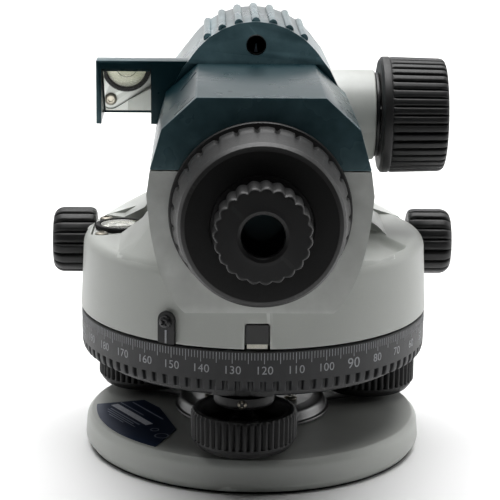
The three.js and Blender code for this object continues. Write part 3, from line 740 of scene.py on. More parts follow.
def tribrach():
    radius, low, top = 52.0, 31.5, span("tribrach")[1].z
    shell = turned([
        (13.4, 24, 0.3), (18, 24, 0.8), (18, low, 1.5), (radius, low, 1.2), (radius, top, 0.6), (
            radius - 6, top, 0.5
        ),
        (radius - 6, low + 4.5, 1), (19, low + 4.5, 1), (19, top - 1, 0.5), (13.4, top - 1, 0.3),
    ], 128)
    steps = []
    for spot in FOOT_CENTRES.values():
        steps.append(("+", moved(cylinder(11.7, low, top - 2, 64), spot.x, spot.y)))
    steps.append(("&", cylinder(radius, 20, 60, 128)))
    for spot in FOOT_CENTRES.values():
        steps.append(("-", moved(cylinder(8, low - 1, top + 1, 64), spot.x, spot.y)))
    return carve(shell, steps, 0.3)


GRIP_TOP = 38.2


def circle_ring():
    """The graduated ring, with ninety grip slots round its lower edge."""
    radius, low, high = CIRCLE_RADIUS, CIRCLE_LOW.z, CIRCLE_HIGH.z
    inner = radius - 3.4
    return turned([
        (24, high - 3.4, 0.3), (inner, high - 3.4, 0.5), (inner, low, 0.2), (radius - 1.9, low, 0, 0),
        (radius - 0.9, low + 0.25, 0, 0.9), (radius - 0.45, low + 0.9, 0, 1.3), (
            radius - 0.12, GRIP_TOP - 1.5, 0, 1.5
        ),
        (radius - 0.05, GRIP_TOP - 0.12, 0, 1.5), (radius - 0.04, GRIP_TOP, 0, 0), (
            radius - 0.03, GRIP_TOP + 0.3, 0, 0
        ),
        (radius - 0.03, high - 0.35, 0, 0), (radius - 0.4, high, 0, 0), (24, high, 0.3),
    ], ribs=90, groove=slots(0.36, 0.1), per_rib=14)


ZERO_BEARING = 122.3  # degrees read at the observer's side


def on_circle(reading):
    """The direction of a reading, in degrees counter-clockwise from +X seen from above."""
    return -90 + (ZERO_BEARING - reading)


def tick_marks():
    """A stroke for each degree, longer at each fifth."""
    bm = bmesh.new()
    top = CIRCLE_HIGH.z - 0.55
    inner, outer = CIRCLE_RADIUS - 0.06, CIRCLE_RADIUS + 0.02
    for degree in range(360):
        length = 3.5 if degree % 5 == 0 else 2.3
        width = 0.21 if degree % 5 == 0 else 0.18
        half = math.degrees(width / 2 / outer)
        corners = []
        for r in (inner, outer):
            for z in (top - length, top):
                for side in (-half, half):
                    angle = math.radians(on_circle(degree) + side)
                    corners.append(bm.verts.new((r * math.cos(angle), r * math.sin(angle), z)))
        a = corners
        for face in ((0, 1, 3, 2), (4, 6, 7, 5), (0, 4, 5, 1), (2, 3, 7, 6), (0, 2, 6, 4), (1, 5, 7, 3)):
            bm.faces.new([a[i] for i in face])
    return bm


def figure(text, height):
    """A number as a bmesh in the XY plane, centred, its baseline at 0."""
    curve = bpy.data.curves.new("figure", "FONT")
    curve.body = text
    curve.align_x = "CENTER"
    curve.size = height / 0.69
    curve.extrude = 0.04
    curve.space_character = 1.04
    holder = bpy.data.objects.new("figure", curve)
    bpy.context.scene.collection.objects.link(holder)
    bpy.context.view_layer.update()
    mesh = holder.to_mesh()
    bm = bmesh.new()
    bm.from_mesh(mesh)
    holder.to_mesh_clear()
    bpy.data.objects.remove(holder)
    bpy.data.curves.remove(curve)
    return bm


def circle_figures():
    """The numbers at each tenth degree, bent round the ring."""
    numbers = []
    for degree in range(0, 360, 10):
        large = degree in (90, 270)
        bm = figure(str(degree), 3.3 if large else 2.55)
        centre = math.radians(on_circle(degree))
        base = 40.6 - (0.35 if large else 0)
        for v in bm.verts:
            angle = centre + v.co.x / CIRCLE_RADIUS
            radius = CIRCLE_RADIUS - 0.03 + v.co.z
            v.co = Vector((radius * math.cos(angle), radius * math.sin(angle), base + v.co.y))
        numbers.append(bm)
    return merge(*numbers)


# The tribrach is grey-painted, yet takes the near-black anodised material: painted shade for the shadow under
# the circle ring.
piece("tribrach_cast", tribrach(), ANODISED, "tribrach", "grey_paint", ["tribrach"])
piece("circle_ring", circle_ring(), CIRCLE_BLACK, "circle", "circle_black", ["horizontal_circle"])
piece("circle_ticks", tick_marks(), WHITE_INK, "circle", "circle_black")
piece("circle_figures", circle_figures(), WHITE_INK, "circle", "circle_black")


# ---- Grey casting: drum, block and lower half of the telescope ----

def telescope_side(inset=0.0, steps=14):
    """Right-hand half of the casting's section, from the bottom up to the parting line."""
    start, bend, end = Vector((22.3, 65.2)), Vector((31.5, 73)), Vector((33.7, 101))
    points = []
    for i in range(steps + 1):
        t = i / steps
        p = start * (1 - t) ** 2 + bend * 2 * t * (1 - t) + end * t ** 2
        points.append((p.x - inset, p.y))
    return points + [(32.7 - inset, PARTING_Z)]


def slot_outline(centres, radius, steps=10):
    """The rounded triangle round three circles, anticlockwise."""
    middle_point = sum((Vector(c) for c in centres), Vector((0, 0))) / len(centres)
    points = []
    ordered = sorted(centres, key=lambda c: math.atan2(c[1] - middle_point.y, c[0] - middle_point.x))
    for c in ordered:
        outward = math.atan2(c[1] - middle_point.y, c[0] - middle_point.x)
        for k in range(steps + 1):
            angle = outward + math.radians(60) * (2 * k / steps - 1)
            points.append((c[0] + radius * math.cos(angle), c[1] + radius * math.sin(angle)))
    return points


VIAL_SCREWS = [middle(f"vial_screw_{place}") for place in ("front", "rear", "inner")]
VIAL_SPOTS = [(spot.x, spot.y) for spot in VIAL_SCREWS]


SCOOP_PROFILE = (
    (0.58, 2.45), (0.68, 2.3), (0.77, 1.9), (0.85, 1.3), (0.93, 0.6), (1.0, 0.12), (1.08, -0.1), (1.08, -9),
)  # share of the outline, depth below the shoulder


def scoop(outline):
    """A shallow hollow with sloping sides in the shoulder of the drum."""
    middle_x = sum(x for x, y in outline) / len(outline)
    middle_y = sum(y for x, y in outline) / len(outline)
    bm = bmesh.new()
    loops = []
    for share, fall in SCOOP_PROFILE:
        z = SHOULDER_Z - fall
        loops.append([
            bm.verts.new((middle_x + (x - middle_x) * share, middle_y + (y - middle_y) * share, z)) for x,
            y in outline
        ])
    count = len(outline)
    for low, high in zip(loops, loops[1:]):
        for i in range(count):
            bm.faces.new((low[i], low[(i + 1) % count], high[(i + 1) % count], high[i]))
    bm.faces.new(loops[0])
    bm.faces.new(loops[-1])
    bmesh.ops.recalc_face_normals(bm, faces=bm.faces)
    return bm


GUSSET_WING = [(34, 70), (54, 70), (54, 71.6), (36, 77.4), (34, 78)]


def casting():
    drum = turned([
        (0, DRUM_LOW), (DRUM_RADIUS - 0.3, DRUM_LOW), (DRUM_RADIUS, DRUM_LOW + 0.3, 0.3),
        (DRUM_RADIUS - 1.2, SHOULDER_Z, 4.0), (0, SHOULDER_Z),
    ], 192, steps=10)
    block = [
        (0, 72), (44.4, 72), (44, 73.6, 2.0), (37, 78.0, 2.0), (31.5, 86), (20, 92), (0, 92),
    ]
    neck = upright(
        [(x, z) for x, z in rounded(block[1:-1] + [(-x, z) for x, z, *_ in reversed(block[1:-1])])], -60, 60
    )
    rim = turned([
        (0, 40), (DRUM_RADIUS - 1.4, 40), (DRUM_RADIUS - 1.4, SHOULDER_Z - 1.2, 5.0),
        (DRUM_RADIUS - 16, SHOULDER_Z + 11), (DRUM_RADIUS - 16, 120), (0, 120),
    ], 160)
    side = telescope_side()
    body = upright(side + [(-x, z) for x, z in reversed(side)], REAR_Y, 28)
    barrel = on_sight_line(cylinder(30.5, 20, FRONT_Y, 128))
    lower = slab(-60, 60, 0, 130, 40, PARTING_Z)
    boss = on_focus_axis(turned([(0, 18.8), (15, 18.8), (15, 39.4, 0.5), (0, 39.4)], 96))
    gussets = []
    for side_sign in (-1, 1):
        wing = upright([(x * side_sign, z) for x, z in GUSSET_WING], 24, 44)
        foot = [(9, 71.5), (27, 79.6), (44, 79.6), (44, 71.5)]
        ramp = sideways(foot, min(33 * side_sign, 56 * side_sign), max(33 * side_sign, 56 * side_sign))
        gussets.append((wing, ramp))
    inside_drum = cylinder(51.5, DRUM_LOW - 1, 70, 96)
    inside_side = telescope_side(3.0)[:-1] + [(29.7, PARTING_Z), (29.7, 140)]
    inside_body = upright(
        [p for p in inside_side if p[1] > 75.5] + [(-x, z) for x, z in reversed(inside_side) if z > 75.5],
        REAR_Y + 4, 24,
    )
    inside_barrel = on_sight_line(cylinder(27.5, 18, 84, 96))
    mouth = on_sight_line(cylinder(27, 80, FRONT_Y + 1, 96))
    steps = [("+", carve(neck, [("&", rim)], soften=2.2, segments=4)), ("+", body)]
    steps.append(("+", carve(barrel, [("&", lower)])))
    for wing, ramp in gussets:
        steps.append(("+", carve(wing, [("&", ramp), ("&", cylinder(DRUM_RADIUS - 1.3, 40, 120, 160))])))
    steps += [("-", inside_drum), ("-", inside_body), ("-", inside_barrel), ("-", mouth), ("+", boss)]
    for x_sign in (-1, 1):
        drive_pad = moved(
            along_x(cylinder(7, 0, 7.3, 48), x_sign), 46 * x_sign, DRIVE_CENTRE.y, DRIVE_CENTRE.z
        )
        steps.append(("+", drive_pad))
    pad = carve(
        moved(cylinder(11.3, 62, 72.5, 64), VIAL_CENTRE.x, VIAL_CENTRE.y),
        [("&", cylinder(56.0, 40, 90, 96))]
    )
    steps.append(("+", pad))
    pocket = prism(slot_outline(VIAL_SPOTS, 3.6), SHOULDER_Z - 2.4, SHOULDER_Z + 12)
    steps += [("-", pocket), ("-", moved(cylinder(9.1, 65, 100, 64), VIAL_CENTRE.x, VIAL_CENTRE.y))]
    for x_sign in (-1, 1):
        shaft = on_drive_axis(cylinder(2.8, 30, 90, 32), x_sign)
        knob = on_drive_axis(cylinder(12.2, 53.4, 80, 64), x_sign)
        steps += [("-", shaft), ("-", knob)]
    steps.append(("-", on_focus_axis(cylinder(4.2, 18, 60, 32))))
    steps.append(("-", on_sight_line(cylinder(15, REAR_Y - 1, REAR_Y + 8, 64))))
    recess = [(-4, 46), (4, 46), (4, BUTTON_Z + 3.6, 1.0), (-4, BUTTON_Z + 3.6, 1.0)]
    steps.append(("-", upright(rounded(recess), -70, -53)))
    steps.append(("-", moved(along_y(cylinder(1.9, -60, -40, 32)), z=BUTTON_Z)))
    steps.append(("-", scoop(rounded([(33, -3), (41, -3, 4), (49.5, -23.5, 5), (38.5, -42, 4), (33, -42)]))))
    return carve(drum, steps)


piece("alidade_casting", casting(), GREY, "alidade", "grey_paint", ["main_casting"])


# ---- Teal cover: deck, ribbed hood, sight tunnel and mirror box ----

HOOD_RADIUS = 27.27
HOOD_Z = 117.0
HOOD_RISE = -8.0  # where the slanted face of the hood leaves the deck
FALLS_FROM = 44.0  # the hood falls from here to the objective
FRONT_SHARE = 0.66
DECK_Z = 130.3
DECK = [(32.7, PARTING_Z + 0.3), (29.3, 120.8), (19.0, DECK_Z)]
HOOD_FLANK = [(30.9, PARTING_Z + 0.3), (29.8, 119.4), (27.7, 123.6), (25.2, 128.6)]


def hood_outline(inset=0.0, steps=16):
    """A round crown on straight flanks that spread downwards."""
    radius = HOOD_RADIUS - inset
    arc = [math.radians(35 + 55 * i / steps) for i in range(steps)]
    half = [(x - inset, z) for x, z in HOOD_FLANK]
    half += [(radius * math.cos(a), HOOD_Z + radius * math.sin(a)) for a in arc]
    return half + [(0, HOOD_Z + radius)] + [(-x, z) for x, z in reversed(half)]


def falling(bm):
    """Lowers what lies beyond FALLS_FROM towards the objective."""
    bmesh.ops.bisect_plane(
        bm, geom=bm.verts[:] + bm.edges[:] + bm.faces[:], plane_co=(0, FALLS_FROM, 0), plane_no=(0, 1, 0),
    )
    for v in bm.verts:
        along = max(0, v.co.y - FALLS_FROM) / (FRONT_Y - FALLS_FROM)
        v.co.z = PARTING_Z + (v.co.z - PARTING_Z) * (1 - (1 - FRONT_SHARE) * along)
    return bm


def hood_rib(turn):
    """A half-round bar with a rounded rear end."""
    outline = [
        (1.45 * math.cos(math.radians(a)), 1.45 * math.sin(math.radians(a))) for a in range(0, 181, 15)
    ]
    outline = [(1.45, -2.2)] + outline + [(-1.45, -2.2)]
    bar = upright([(x, z + HOOD_RADIUS - 1.45) for x, z in outline], 1.2, FRONT_Y - 14)
    for v in bar.verts:
        if v.co.y < 2:
            v.co.y += 0.9 * max(0, (v.co.z - HOOD_RADIUS + 1.45) / 1.45)
    return moved(turned_by(bar, turn, "Y"), z=HOOD_Z)


def slanted_block():
    """What the slanted face of the hood takes away."""
    slope = math.degrees(math.atan2(14, -HOOD_RISE))
    return moved(turned_by(slab(-60, 60, -60, 0, 0, 60), slope - 90, "X"), y=HOOD_RISE, z=DECK_Z)


def deck_slot(start, end):
    """A thin slot between two points of a chamfer of the deck."""
    a, b = Vector(start), Vector(end)
    along = (b - a).normalized()
    up = Vector((1 if a.x > 0 else -1, 0, 1.05)).normalized()
    across = along.cross(up).normalized()
    bm = bmesh.new()
    corners = []
    for end_point in (a, b):
        for level in (-2.2, 1.5):
            for side in (-0.42, 0.42):
                corners.append(bm.verts.new(end_point + up * level + across * side))
    for face in ((0, 1, 3, 2), (4, 6, 7, 5), (0, 4, 5, 1), (2, 3, 7, 6), (0, 2, 6, 4), (1, 5, 7, 3)):
        bm.faces.new([corners[i] for i in face])
    bmesh.ops.recalc_face_normals(bm, faces=bm.faces)
    return bm


BOX_LEFT, BOX_REAR, BOX_FRONT = COVER_LOW.x, -6.0, 17.4
BOX_LOW, BOX_HIGH, BOX_WALL = 110.0, 130.8, 1.6
WINDOW = (-50.4, -34.2, 128.1)  # left, right and top of the opening
LEAN = 126.6  # Y + Z on the face of the leaning mirror


def cover():
    outline = DECK + [(-x, z) for x, z in reversed(DECK)]
    deck = bevelled(upright(outline, REAR_Y, 4), 0.35)
    steps = []
    hood = falling(upright(hood_outline(1.2), HOOD_RISE, FRONT_Y))
    hood_cuts = [("+", falling(hood_rib(12.5 * i))) for i in range(-3, 4)]
    hood_cuts.append(("-", slanted_block()))
    hood = carve(hood, hood_cuts)
    steps.append(("+", hood))
    tunnel = on_peep_line(cylinder(5.7, HOOD_RISE - 10, FRONT_Y - 2, 48))
    inner = [(x - 2.6 if i else x - 3, z - (2.6 if z > 130 else 0)) for i, (x, z) in enumerate(DECK)]
    inner = [(29.7, PARTING_Z - 1)] + inner
    hollow_deck = upright(inner + [(-x, z) for x, z in reversed(inner)], REAR_Y + 4, 3)
    under = hood_outline(3.8)
    under = [(26.4, PARTING_Z - 1)] + under[1:-1] + [(-26.4, PARTING_Z - 1)]
    hollow = carve(hollow_deck, [("+", falling(upright(under, 0, 84))), ("-", tunnel)])
    steps.append(("-", hollow))
    shell = bevelled(sideways([
        (BOX_REAR, BOX_LOW), (BOX_FRONT, BOX_LOW), (BOX_FRONT, LEAN + 5.9 - BOX_FRONT),
        (LEAN + 5.9 - BOX_HIGH, BOX_HIGH), (BOX_REAR, BOX_HIGH),
    ], BOX_LEFT, -22), 0.3)
    room = sideways([
        (BOX_REAR - 1, BOX_LOW - 1), (BOX_FRONT - 1.4, BOX_LOW - 1), (
            BOX_FRONT - 1.4, LEAN + 3.4 - BOX_FRONT
        ),
        (LEAN + 4 - BOX_HIGH, BOX_HIGH - 2), (BOX_REAR - 1, BOX_HIGH - 2),
    ], BOX_LEFT + BOX_WALL, -34)
    x0, x1, z1 = WINDOW
    frame_plate = slab(BOX_LEFT + 1, -32, BOX_REAR + 0.02, BOX_REAR + 1.6, BOX_LOW + 0.02, BOX_HIGH - 1)
    frame_hole = slab(x0, x1, BOX_REAR - 2, BOX_REAR + 3, BOX_LOW - 2, z1)
    box_steps = [("-", room), ("+", carve(frame_plate, [("-", frame_hole)]))]
    steps.append(("+", carve(shell, box_steps)))
    steps += [
        ("-", on_peep_line(cylinder(3.3, HOOD_RISE - 20, FRONT_Y + 1, 48))),
        ("-", on_sight_line(cylinder(27.2, 80, FRONT_Y + 1, 96))),
        ("-", on_focus_axis(cylinder(15.3, 18.5, 60, 96))),
        ("-", on_sight_line(cylinder(15, REAR_Y - 1, REAR_Y + 8, 64))),
        ("-", slab(20, 60, -60, 60, 90, PARTING_Z + 0.3)),
        ("-", deck_slot((-25.6, -70.5, 124.2), (-19.6, -70.5, 129.8))),
        ("-", deck_slot((-24.2, -34.0, 125.5), (-19.3, -23.5, 130.0))),
        ("-", deck_slot((23.5, -54.4, 126.2), (28.8, -57.2, 121.3))),
    ]
    return carve(deck, steps)


piece("teal_cover", cover(), TEAL, "alidade", "teal_cover", ["top_cover"])


# ---- Focusing and slow-motion knobs ----

def focus_grip():
    """Knurled knob about X: a plain flange, rounded ribs, a domed end."""
    radius = 19.3
    length = KNOB_HIGH.x - KNOB_LOW.x
    return turned([
        (3.3, 12, 0), (7, 12, 0.5), (7, 0.6, 0.3), (11.5, 0.2, 0.3), (15.8, 0, 0.3), (radius - 1.2, 0, 0.4),
        (radius - 0.1, 0.8, 0, 0), (radius, 1.4, 0, 0), (radius, 3.0, 0, 0), (radius - 0.15, 3.3, 0, 0),
        (radius - 0.35, 3.5, 0, 0.1), (radius - 0.15, 3.9, 0, 0.8), (radius - 0.1, 4.6, 0, 1.2),
        (radius - 0.3, 12, 0, 1.2), (radius - 0.5, length - 2.2, 0, 1.2), (
            radius - 0.7, length - 1.2, 0, 1.1
        ),
        (radius - 1.3, length - 0.4, 0, 0.7), (radius - 2.1, length - 0.08, 0, 0.2), (
            radius - 2.8, length, 0, 0
        ),
        (14.2, length, 0.2), (13.6, length - 0.6, 0.3), (6.5, length - 0.6, 0.3),
        (6.2, length - 0.1, 0.2), (0, length - 0.1), (0, length - 4), (3.3, length - 4),
    ], ribs=40, groove=lobes(2.4), per_rib=14)


def drive_grip():
    """Fluted knob about Z for one end of the drive shaft."""
    radius = 11.2
    length = KNOB_END - DRIVE_INNER
    return turned([
        (2.8, 5.5), (4.9, 5.5, 0.2), (4.9, 0.5, 0.3), (8.4, 0, 0.3), (radius - 1.6, 0, 0.3),
        (radius - 0.8, 0.35, 0, 0.1), (radius - 0.3, 1.0, 0, 0.8), (radius, 2.1, 0, 1.25), (
            radius, 6, 0, 1.3
        ),
        (radius, length - 3.4, 0, 1.3), (radius - 0.3, length - 2.2, 0, 1.2), (
            radius - 0.9, length - 1.2, 0, 0.9
        ),
        (radius - 1.8, length - 0.45, 0, 0.5), (radius - 2.7, length - 0.1, 0, 0.1), (
            radius - 3.4, length, 0, 0
        ),
        (6.2, length, 0.2), (5.8, length - 0.5, 0.2), (0, length - 0.5), (0, length - 2.6), (
            2.8, length - 2.6
        ),
    ], ribs=17, groove=lobes(2.6), per_rib=22)


KNOB_END = span("drive_knob_right")[1].x
DRIVE_INNER = span("drive_knob_right")[0].x
grip = moved(along_x(focus_grip()), KNOB_LOW.x, FOCUS_CENTRE.y, FOCUS_CENTRE.z)
piece("focus_grip", grip, BLACK, "focus", "black_plastic", ["focus_knob"])
for side_name, sign in (("left", -1), ("right", 1)):
    grip = moved(along_x(drive_grip(), sign), DRIVE_INNER * sign, DRIVE_CENTRE.y, DRIVE_CENTRE.z)
    piece(f"drive_grip_{side_name}", grip, BLACK, "drive", "black_plastic", [f"drive_knob_{side_name}"])


def focus_collar():
    """The dark ring between the boss and the knob."""
    return turned([
        (3.3, 24), (4, 24), (4, 39.55, 0.1), (13.6, 39.55, 0.2), (14, 39.8, 0.2), (14, 40.75, 0.2),
        (3.3, 40.75, 0.1),
    ], 64)


collar = on_focus_axis(focus_collar())
piece("focus_collar", collar, ANODISED, "alidade", "black_plastic", ["focus_bush"])


# ---- Eyepiece end ----

def eyepiece_shroud():
    """Flange, lobed ring, smooth cone and flat dark face, along -Y."""
    rear = -REAR_Y + 0.3
    radius = GUARD_HIGH.x
    return turned([
        (10.6, 67.2, 0.1), (14.5, 67.2, 0.1), (14.5, rear, 0.1), (radius - 0.2, rear, 0.1), (
            radius, rear + 0.3, 0.2
        ),
        (radius, rear + 1.3, 0.3), (radius - 0.3, rear + 1.7, 0.2), (radius - 2.4, rear + 1.9, 0.2),
        (radius - 2.5, rear + 3.2, 0.1), (radius - 1.3, rear + 3.5, 0, 0.5), (
            radius - 0.85, rear + 4.2, 0, 1.1
        ),
        (radius - 0.9, rear + 6.4, 0, 1.2), (radius - 1.1, rear + 7.5, 0, 1.1), (
            radius - 1.4, rear + 8.3, 0, 0.7
        ),
        (radius - 1.6, rear + 9.0, 0, 0.2), (radius - 1.8, rear + 9.8, 0, 0), (24.3, 93.2, 0.8), (
            23.4, 94.6, 0.5
        ),
        (22.4, 95, 0.3), (15.2, 95, 0.3), (14.8, 94.6, 0.2), (10.6, 94.6, 0.2),
    ], ribs=27, groove=notches(), per_rib=24)


def notches():
    """Broad lobes with small V-shaped notches."""
    def depth(turns):
        off = abs((turns % 1) - 0.5) * 2
        return max(0.0, (off - 0.72) / 0.28) + 0.18 * off ** 2
    return depth


def along_minus_y(bm):
    """Turns a piece made along Z to lie along -Y on the line of sight."""
    bmesh.ops.rotate(bm, verts=bm.verts, cent=(0, 0, 0), matrix=Matrix.Rotation(math.pi / 2, 3, "X"))
    return moved(bm, z=SIGHT_Z)


def diopter_grip():
    radius = 14.2
    end = -RING_LOW.y
    return turned([
        (10.4, end - 12, 0.1), (radius - 1.5, end - 12, 0.2), (radius - 0.6, end - 11.4, 0, 0.4),
        (radius, end - 10.4, 0, 0.7), (radius, end - 2.0, 0, 0.8), (radius - 0.1, end - 1.0, 0, 0.8),
        (radius - 0.35, end - 0.45, 0, 0.8), (radius - 0.7, end - 0.22, 0, 0.75), (
            radius - 1.1, end - 0.2, 0, 0.5
        ),
        (radius - 2.4, end - 0.2, 0, 0), (8.6, end - 0.1, 0.5), (7.4, end, 0.4), (6.4, end - 0.4, 0.3),
        (6.1, end - 1.4, 0.2),
        (6.1, end - 2.4, 0.1), (10.4, end - 2.6, 0.1),
    ], ribs=23, groove=lobes(1.0), per_rib=16)


def eye_cup_tube():
    return turned([
        (6.5, 102.5, 0.2), (9.9, 102.5, 0.3), (9.9, 70, 0.2), (8.3, 70, 0.2), (8.3, 100, 0.2), (
            6.5, 100, 0.2
        ),
    ], 72)


piece(
    "eyepiece_shroud", along_minus_y(eyepiece_shroud()), GUARD_BLACK, "alidade", "black_plastic",
    ["eyepiece_guard"]
)
face = turned([(15.2, 94.95), (22.2, 94.95), (22.2, 95.2, 0.08), (15.2, 95.2, 0.08)], 128)
piece("eyepiece_face", along_minus_y(face), DISC_BLACK, "alidade", "black_plastic")
piece("diopter_grip", along_minus_y(diopter_grip()), BLACK, "diopter_ring", "black_plastic", ["diopter_ring"])
piece("ocular_barrel", along_minus_y(eye_cup_tube()), DISC_BLACK, "ocular", "black_metal", ["ocular_tube"])


# ---- Objective ----

def objective_bezel():
    radius = CELL_HIGH.x
    end = CELL_HIGH.y
    return turned([
        (19.5, 82, 0.2), (26.7, 82, 0.3), (26.7, 100.4, 0.1), (radius - 0.3, 100.4, 0.2), (
            radius, 100.8, 0.3
        ),
        (radius, 103.6, 0.2), (radius - 0.5, 103.9, 0.2), (radius - 0.5, 104.5, 0.2), (radius, 104.8, 0.2),
        (radius, end - 1, 0.4), (radius - 0.9, end, 0.5), (24.4, end, 0.6), (23.2, end - 1.6, 0.3),
        (22.6, end - 1.8, 0.2),
        (22.2, end - 3.4, 0.2), (21.4, end - 3.6, 0.2), (21.0, end - 5.4, 0.2), (20.2, end - 5.6, 0.2),
        (19.8, end - 8, 0.2), (18.6, 97, 0.2), (18.6, 94.5, 0.1), (21, 94.5, 0.1), (21, 84, 0.1), (
            19.5, 84, 0.1
        ),
    ], 144)


def round_lens(radius, edge, bulge, y):
    """A lens along Y with one curved and one shallow face."""
    count = 12
    back = [(radius * i / count, -edge / 2 - bulge * 0.4 * (1 - (i / count) ** 2)) for i in range(count + 1)]
    face = [(radius * i / count, edge / 2 + bulge * (1 - (i / count) ** 2)) for i in range(count, -1, -1)]
    return moved(along_y(turned(back + face, 96)), 0, y, SIGHT_Z)


piece(
    "objective_bezel", on_sight_line(objective_bezel()), ANODISED, "alidade", "black_metal",
    ["objective_cell"]
)
front_lens = round_lens(20.6, 5, 1.6, 89.5)
piece("objective_glass", front_lens, COATED, "alidade", "optical_glass", ["objective_lens"])


# ---- Circular vial and its mirror ----

PLATE_TOP = SHOULDER_Z - 1


def vial_base():
    plate = prism(slot_outline(VIAL_SPOTS, 3.2), PLATE_TOP - 1.1, PLATE_TOP)
    cuts = [("-", moved(cylinder(7.9, 60, 90, 64), VIAL_CENTRE.x, VIAL_CENTRE.y))]
    cuts += [("-", moved(cylinder(1.5, 60, 90, 24), x, y)) for x, y in VIAL_SPOTS]
    return carve(plate, cuts, 0.12)


def vial_ring():
    return moved(turned([
        (0, 66), (7.6, 66, 0.2), (7.6, PLATE_TOP + 0.2, 0.1), (8.8, PLATE_TOP + 0.2, 0.2), (
            8.8, PLATE_TOP + 1.7, 0.5
        ),
        (7.3, PLATE_TOP + 1.7, 0.2), (7.3, 67.2), (0, 67.2),
    ], 96), VIAL_CENTRE.x, VIAL_CENTRE.y)


def vial_dome():
    top = SHOULDER_Z + 0.6
    return moved(turned([
        (0, 71.2), (7, 71.2), (7, top - 0.1, 0.2), (5, top + 0.22, 2), (2.5, top + 0.36, 2), (0, top + 0.4),
    ], 96), VIAL_CENTRE.x, VIAL_CENTRE.y)


piece("vial_base", vial_base(), GREY, "alidade", "black_metal", ["vial_plate"])
piece("vial_ring", vial_ring(), DISC_BLACK, "alidade", "black_plastic", ["vial_cup"])
piece("vial_dome", vial_dome(), VIAL_COVER, "alidade", "vial_glass", ["vial_glass"])
liquid = moved(cylinder(6.95, 67.5, 71.0, 72), VIAL_CENTRE.x, VIAL_CENTRE.y)
piece("vial_liquid", liquid, VIAL_LIQUID, "alidade", "vial_glass")
mark = flat_ring(3.6, 3.85, 71.02, 71.1, VIAL_CENTRE.x, VIAL_CENTRE.y)
piece("vial_mark", mark, DISC_BLACK, "alidade", "vial_glass")
for place, spot in zip(("front", "rear", "inner"), VIAL_SCREWS):
    head = screw_head(2.2, PLATE_TOP + 0.1, PLATE_TOP + 1.3, "hexagon")
    shank = cylinder(1.2, PLATE_TOP - 1, PLATE_TOP + 0.3, 24)
    screw = moved(carve(head, [("+", shank)]), spot.x, spot.y)
    piece(f"vial_bolt_{place}", screw, SCREW, "alidade", "steel", [f"vial_screw_{place}"])


def tilted_plate(thickness, inset, offset):
    """A plate in the mirror box, leaning at 45 degrees."""
    left = BOX_LEFT + BOX_WALL + inset
    plate = bevelled(slab(left, -34 - inset, -11.5 + inset, 11.5 - inset, offset, offset + thickness), 0.12)
    return moved(turned_by(plate, -45, "X"), 0, 7, LEAN - 7)


piece("mirror_plate", tilted_plate(1, 0.5, -1), MIRROR, "alidade", "mirror_glass", ["mirror"])
piece("mirror_back", tilted_plate(0.9, 0.35, 0.2), BLACK, "alidade", "black_plastic", ["mirror_backing"])


# ---- Index mark and compensator check button ----

INDEX_BEARING = 28.6
INDEX_TOP = 59.3


def index_mark():
    width = 5.8
    low = DRUM_LOW + 0.2
    plate = bevelled(slab(-width / 2, width / 2, -59.4, -58.2, low, INDEX_TOP - width / 2), 0.1, 1)
    disc = turned([(0, -0.6), (width / 2, -0.6, 0.1), (width / 2, 0.6, 0.1), (0, 0.6)], 48)
    top = moved(turned_by(disc, 90, "X"), 0, -58.8, INDEX_TOP - width / 2)
    hole = moved(along_y(cylinder(1.3, -70, -50, 32)), z=INDEX_TOP - 3.4)
    return turned_by(carve(plate, [("+", top), ("-", hole)]), -INDEX_BEARING)


def index_bolt():
    head = screw_head(2.0, 0, 1.0)
    head = moved(turned_by(head, 90, "X"), 0, -59.55, INDEX_TOP - 3.4)
    return turned_by(head, -INDEX_BEARING)


def index_line():
    stroke = slab(-0.32, 0.32, -59.47, -59.38, DRUM_LOW + 0.25, DRUM_LOW + 4.6)
    return turned_by(stroke, -INDEX_BEARING)


piece("index_mark", index_mark(), BLACK, "alidade", "black_plastic", ["index_plate"])
piece("index_bolt", index_bolt(), ANODISED, "alidade", "black_metal", ["index_screw"])
piece("index_line", index_line(), WHITE_INK, "alidade", "black_plastic")


def button():
    """A squarish cap on its rod."""
    cap = bevelled(slab(-3.5, 3.5, -57.4, -55.2, BUTTON_Z - 3.05, BUTTON_Z + 3.05), 0.45, 3)
    rod = moved(along_y(cylinder(1.4, -56, -38, 32)), z=BUTTON_Z)
    stop = moved(along_y(cylinder(2.4, -41, -39, 32)), z=BUTTON_Z)
    return carve(cap, [("+", rod), ("+", stop)])


piece("check_cap", button(), GUARD_BLACK, "check_button", "black_plastic", ["check_button"])
lug = bevelled(slab(-3.2, 3.2, -57.2, -55.3, DRUM_LOW + 0.1, BUTTON_Z - 3.15), 0.25)
piece("check_lug", lug, IVORY, "check_button", "black_plastic")


# ---- Sight tunnel ----

# A black sleeve lining the sight tunnel, closed at its far end: painted shade that keeps the bore dark.
shade_sleeve = turned([
    (2.95, HOOD_RISE + 3.5), (3.25, HOOD_RISE + 3.5), (3.25, 38), (0, 38), (0, 37.4), (2.95, 37.4),
], 64)
piece("sight_shade_sleeve", on_peep_line(shade_sleeve), DISC_BLACK, "alidade", "black_plastic")
# A pale mark near the tunnel mouth: a painted glint for the light seen in the sight.
glint_mark = upright([(-0.6, -2.6), (0.6, -2.6), (0.12, 0.2), (-0.12, 0.2)], -1.5, -1.1)
piece("sight_glint_mark", moved(glint_mark, z=PEEP_Z), LABEL_WHITE, "alidade", "black_plastic")


# ---- Inner CAD nodes that keep their meshes ----

KEPT = {
    "axis_bush": BRASS, "clutch_wheel": BRASS, "focusing_carriage": BRASS, "compensator_pendulum": BRASS,
    "reticle_cell": BRASS, "axis_spindle": STEEL, "spindle_washer": STEEL, "drive_shaft": STEEL,
    "focus_shaft": STEEL, "damping_magnet": STEEL, "drum_floor": ANODISED, "compensator_frame": ANODISED,
    "focusing_lens": OPTIC, "pendulum_prism": OPTIC, "reticle_glass": OPTIC, "eye_lens": COATED,
}
for node, look in KEPT.items():
    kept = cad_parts[node]
    for slot in kept.material_slots:
        slot.material = look


# ---- Floor, light and camera ----

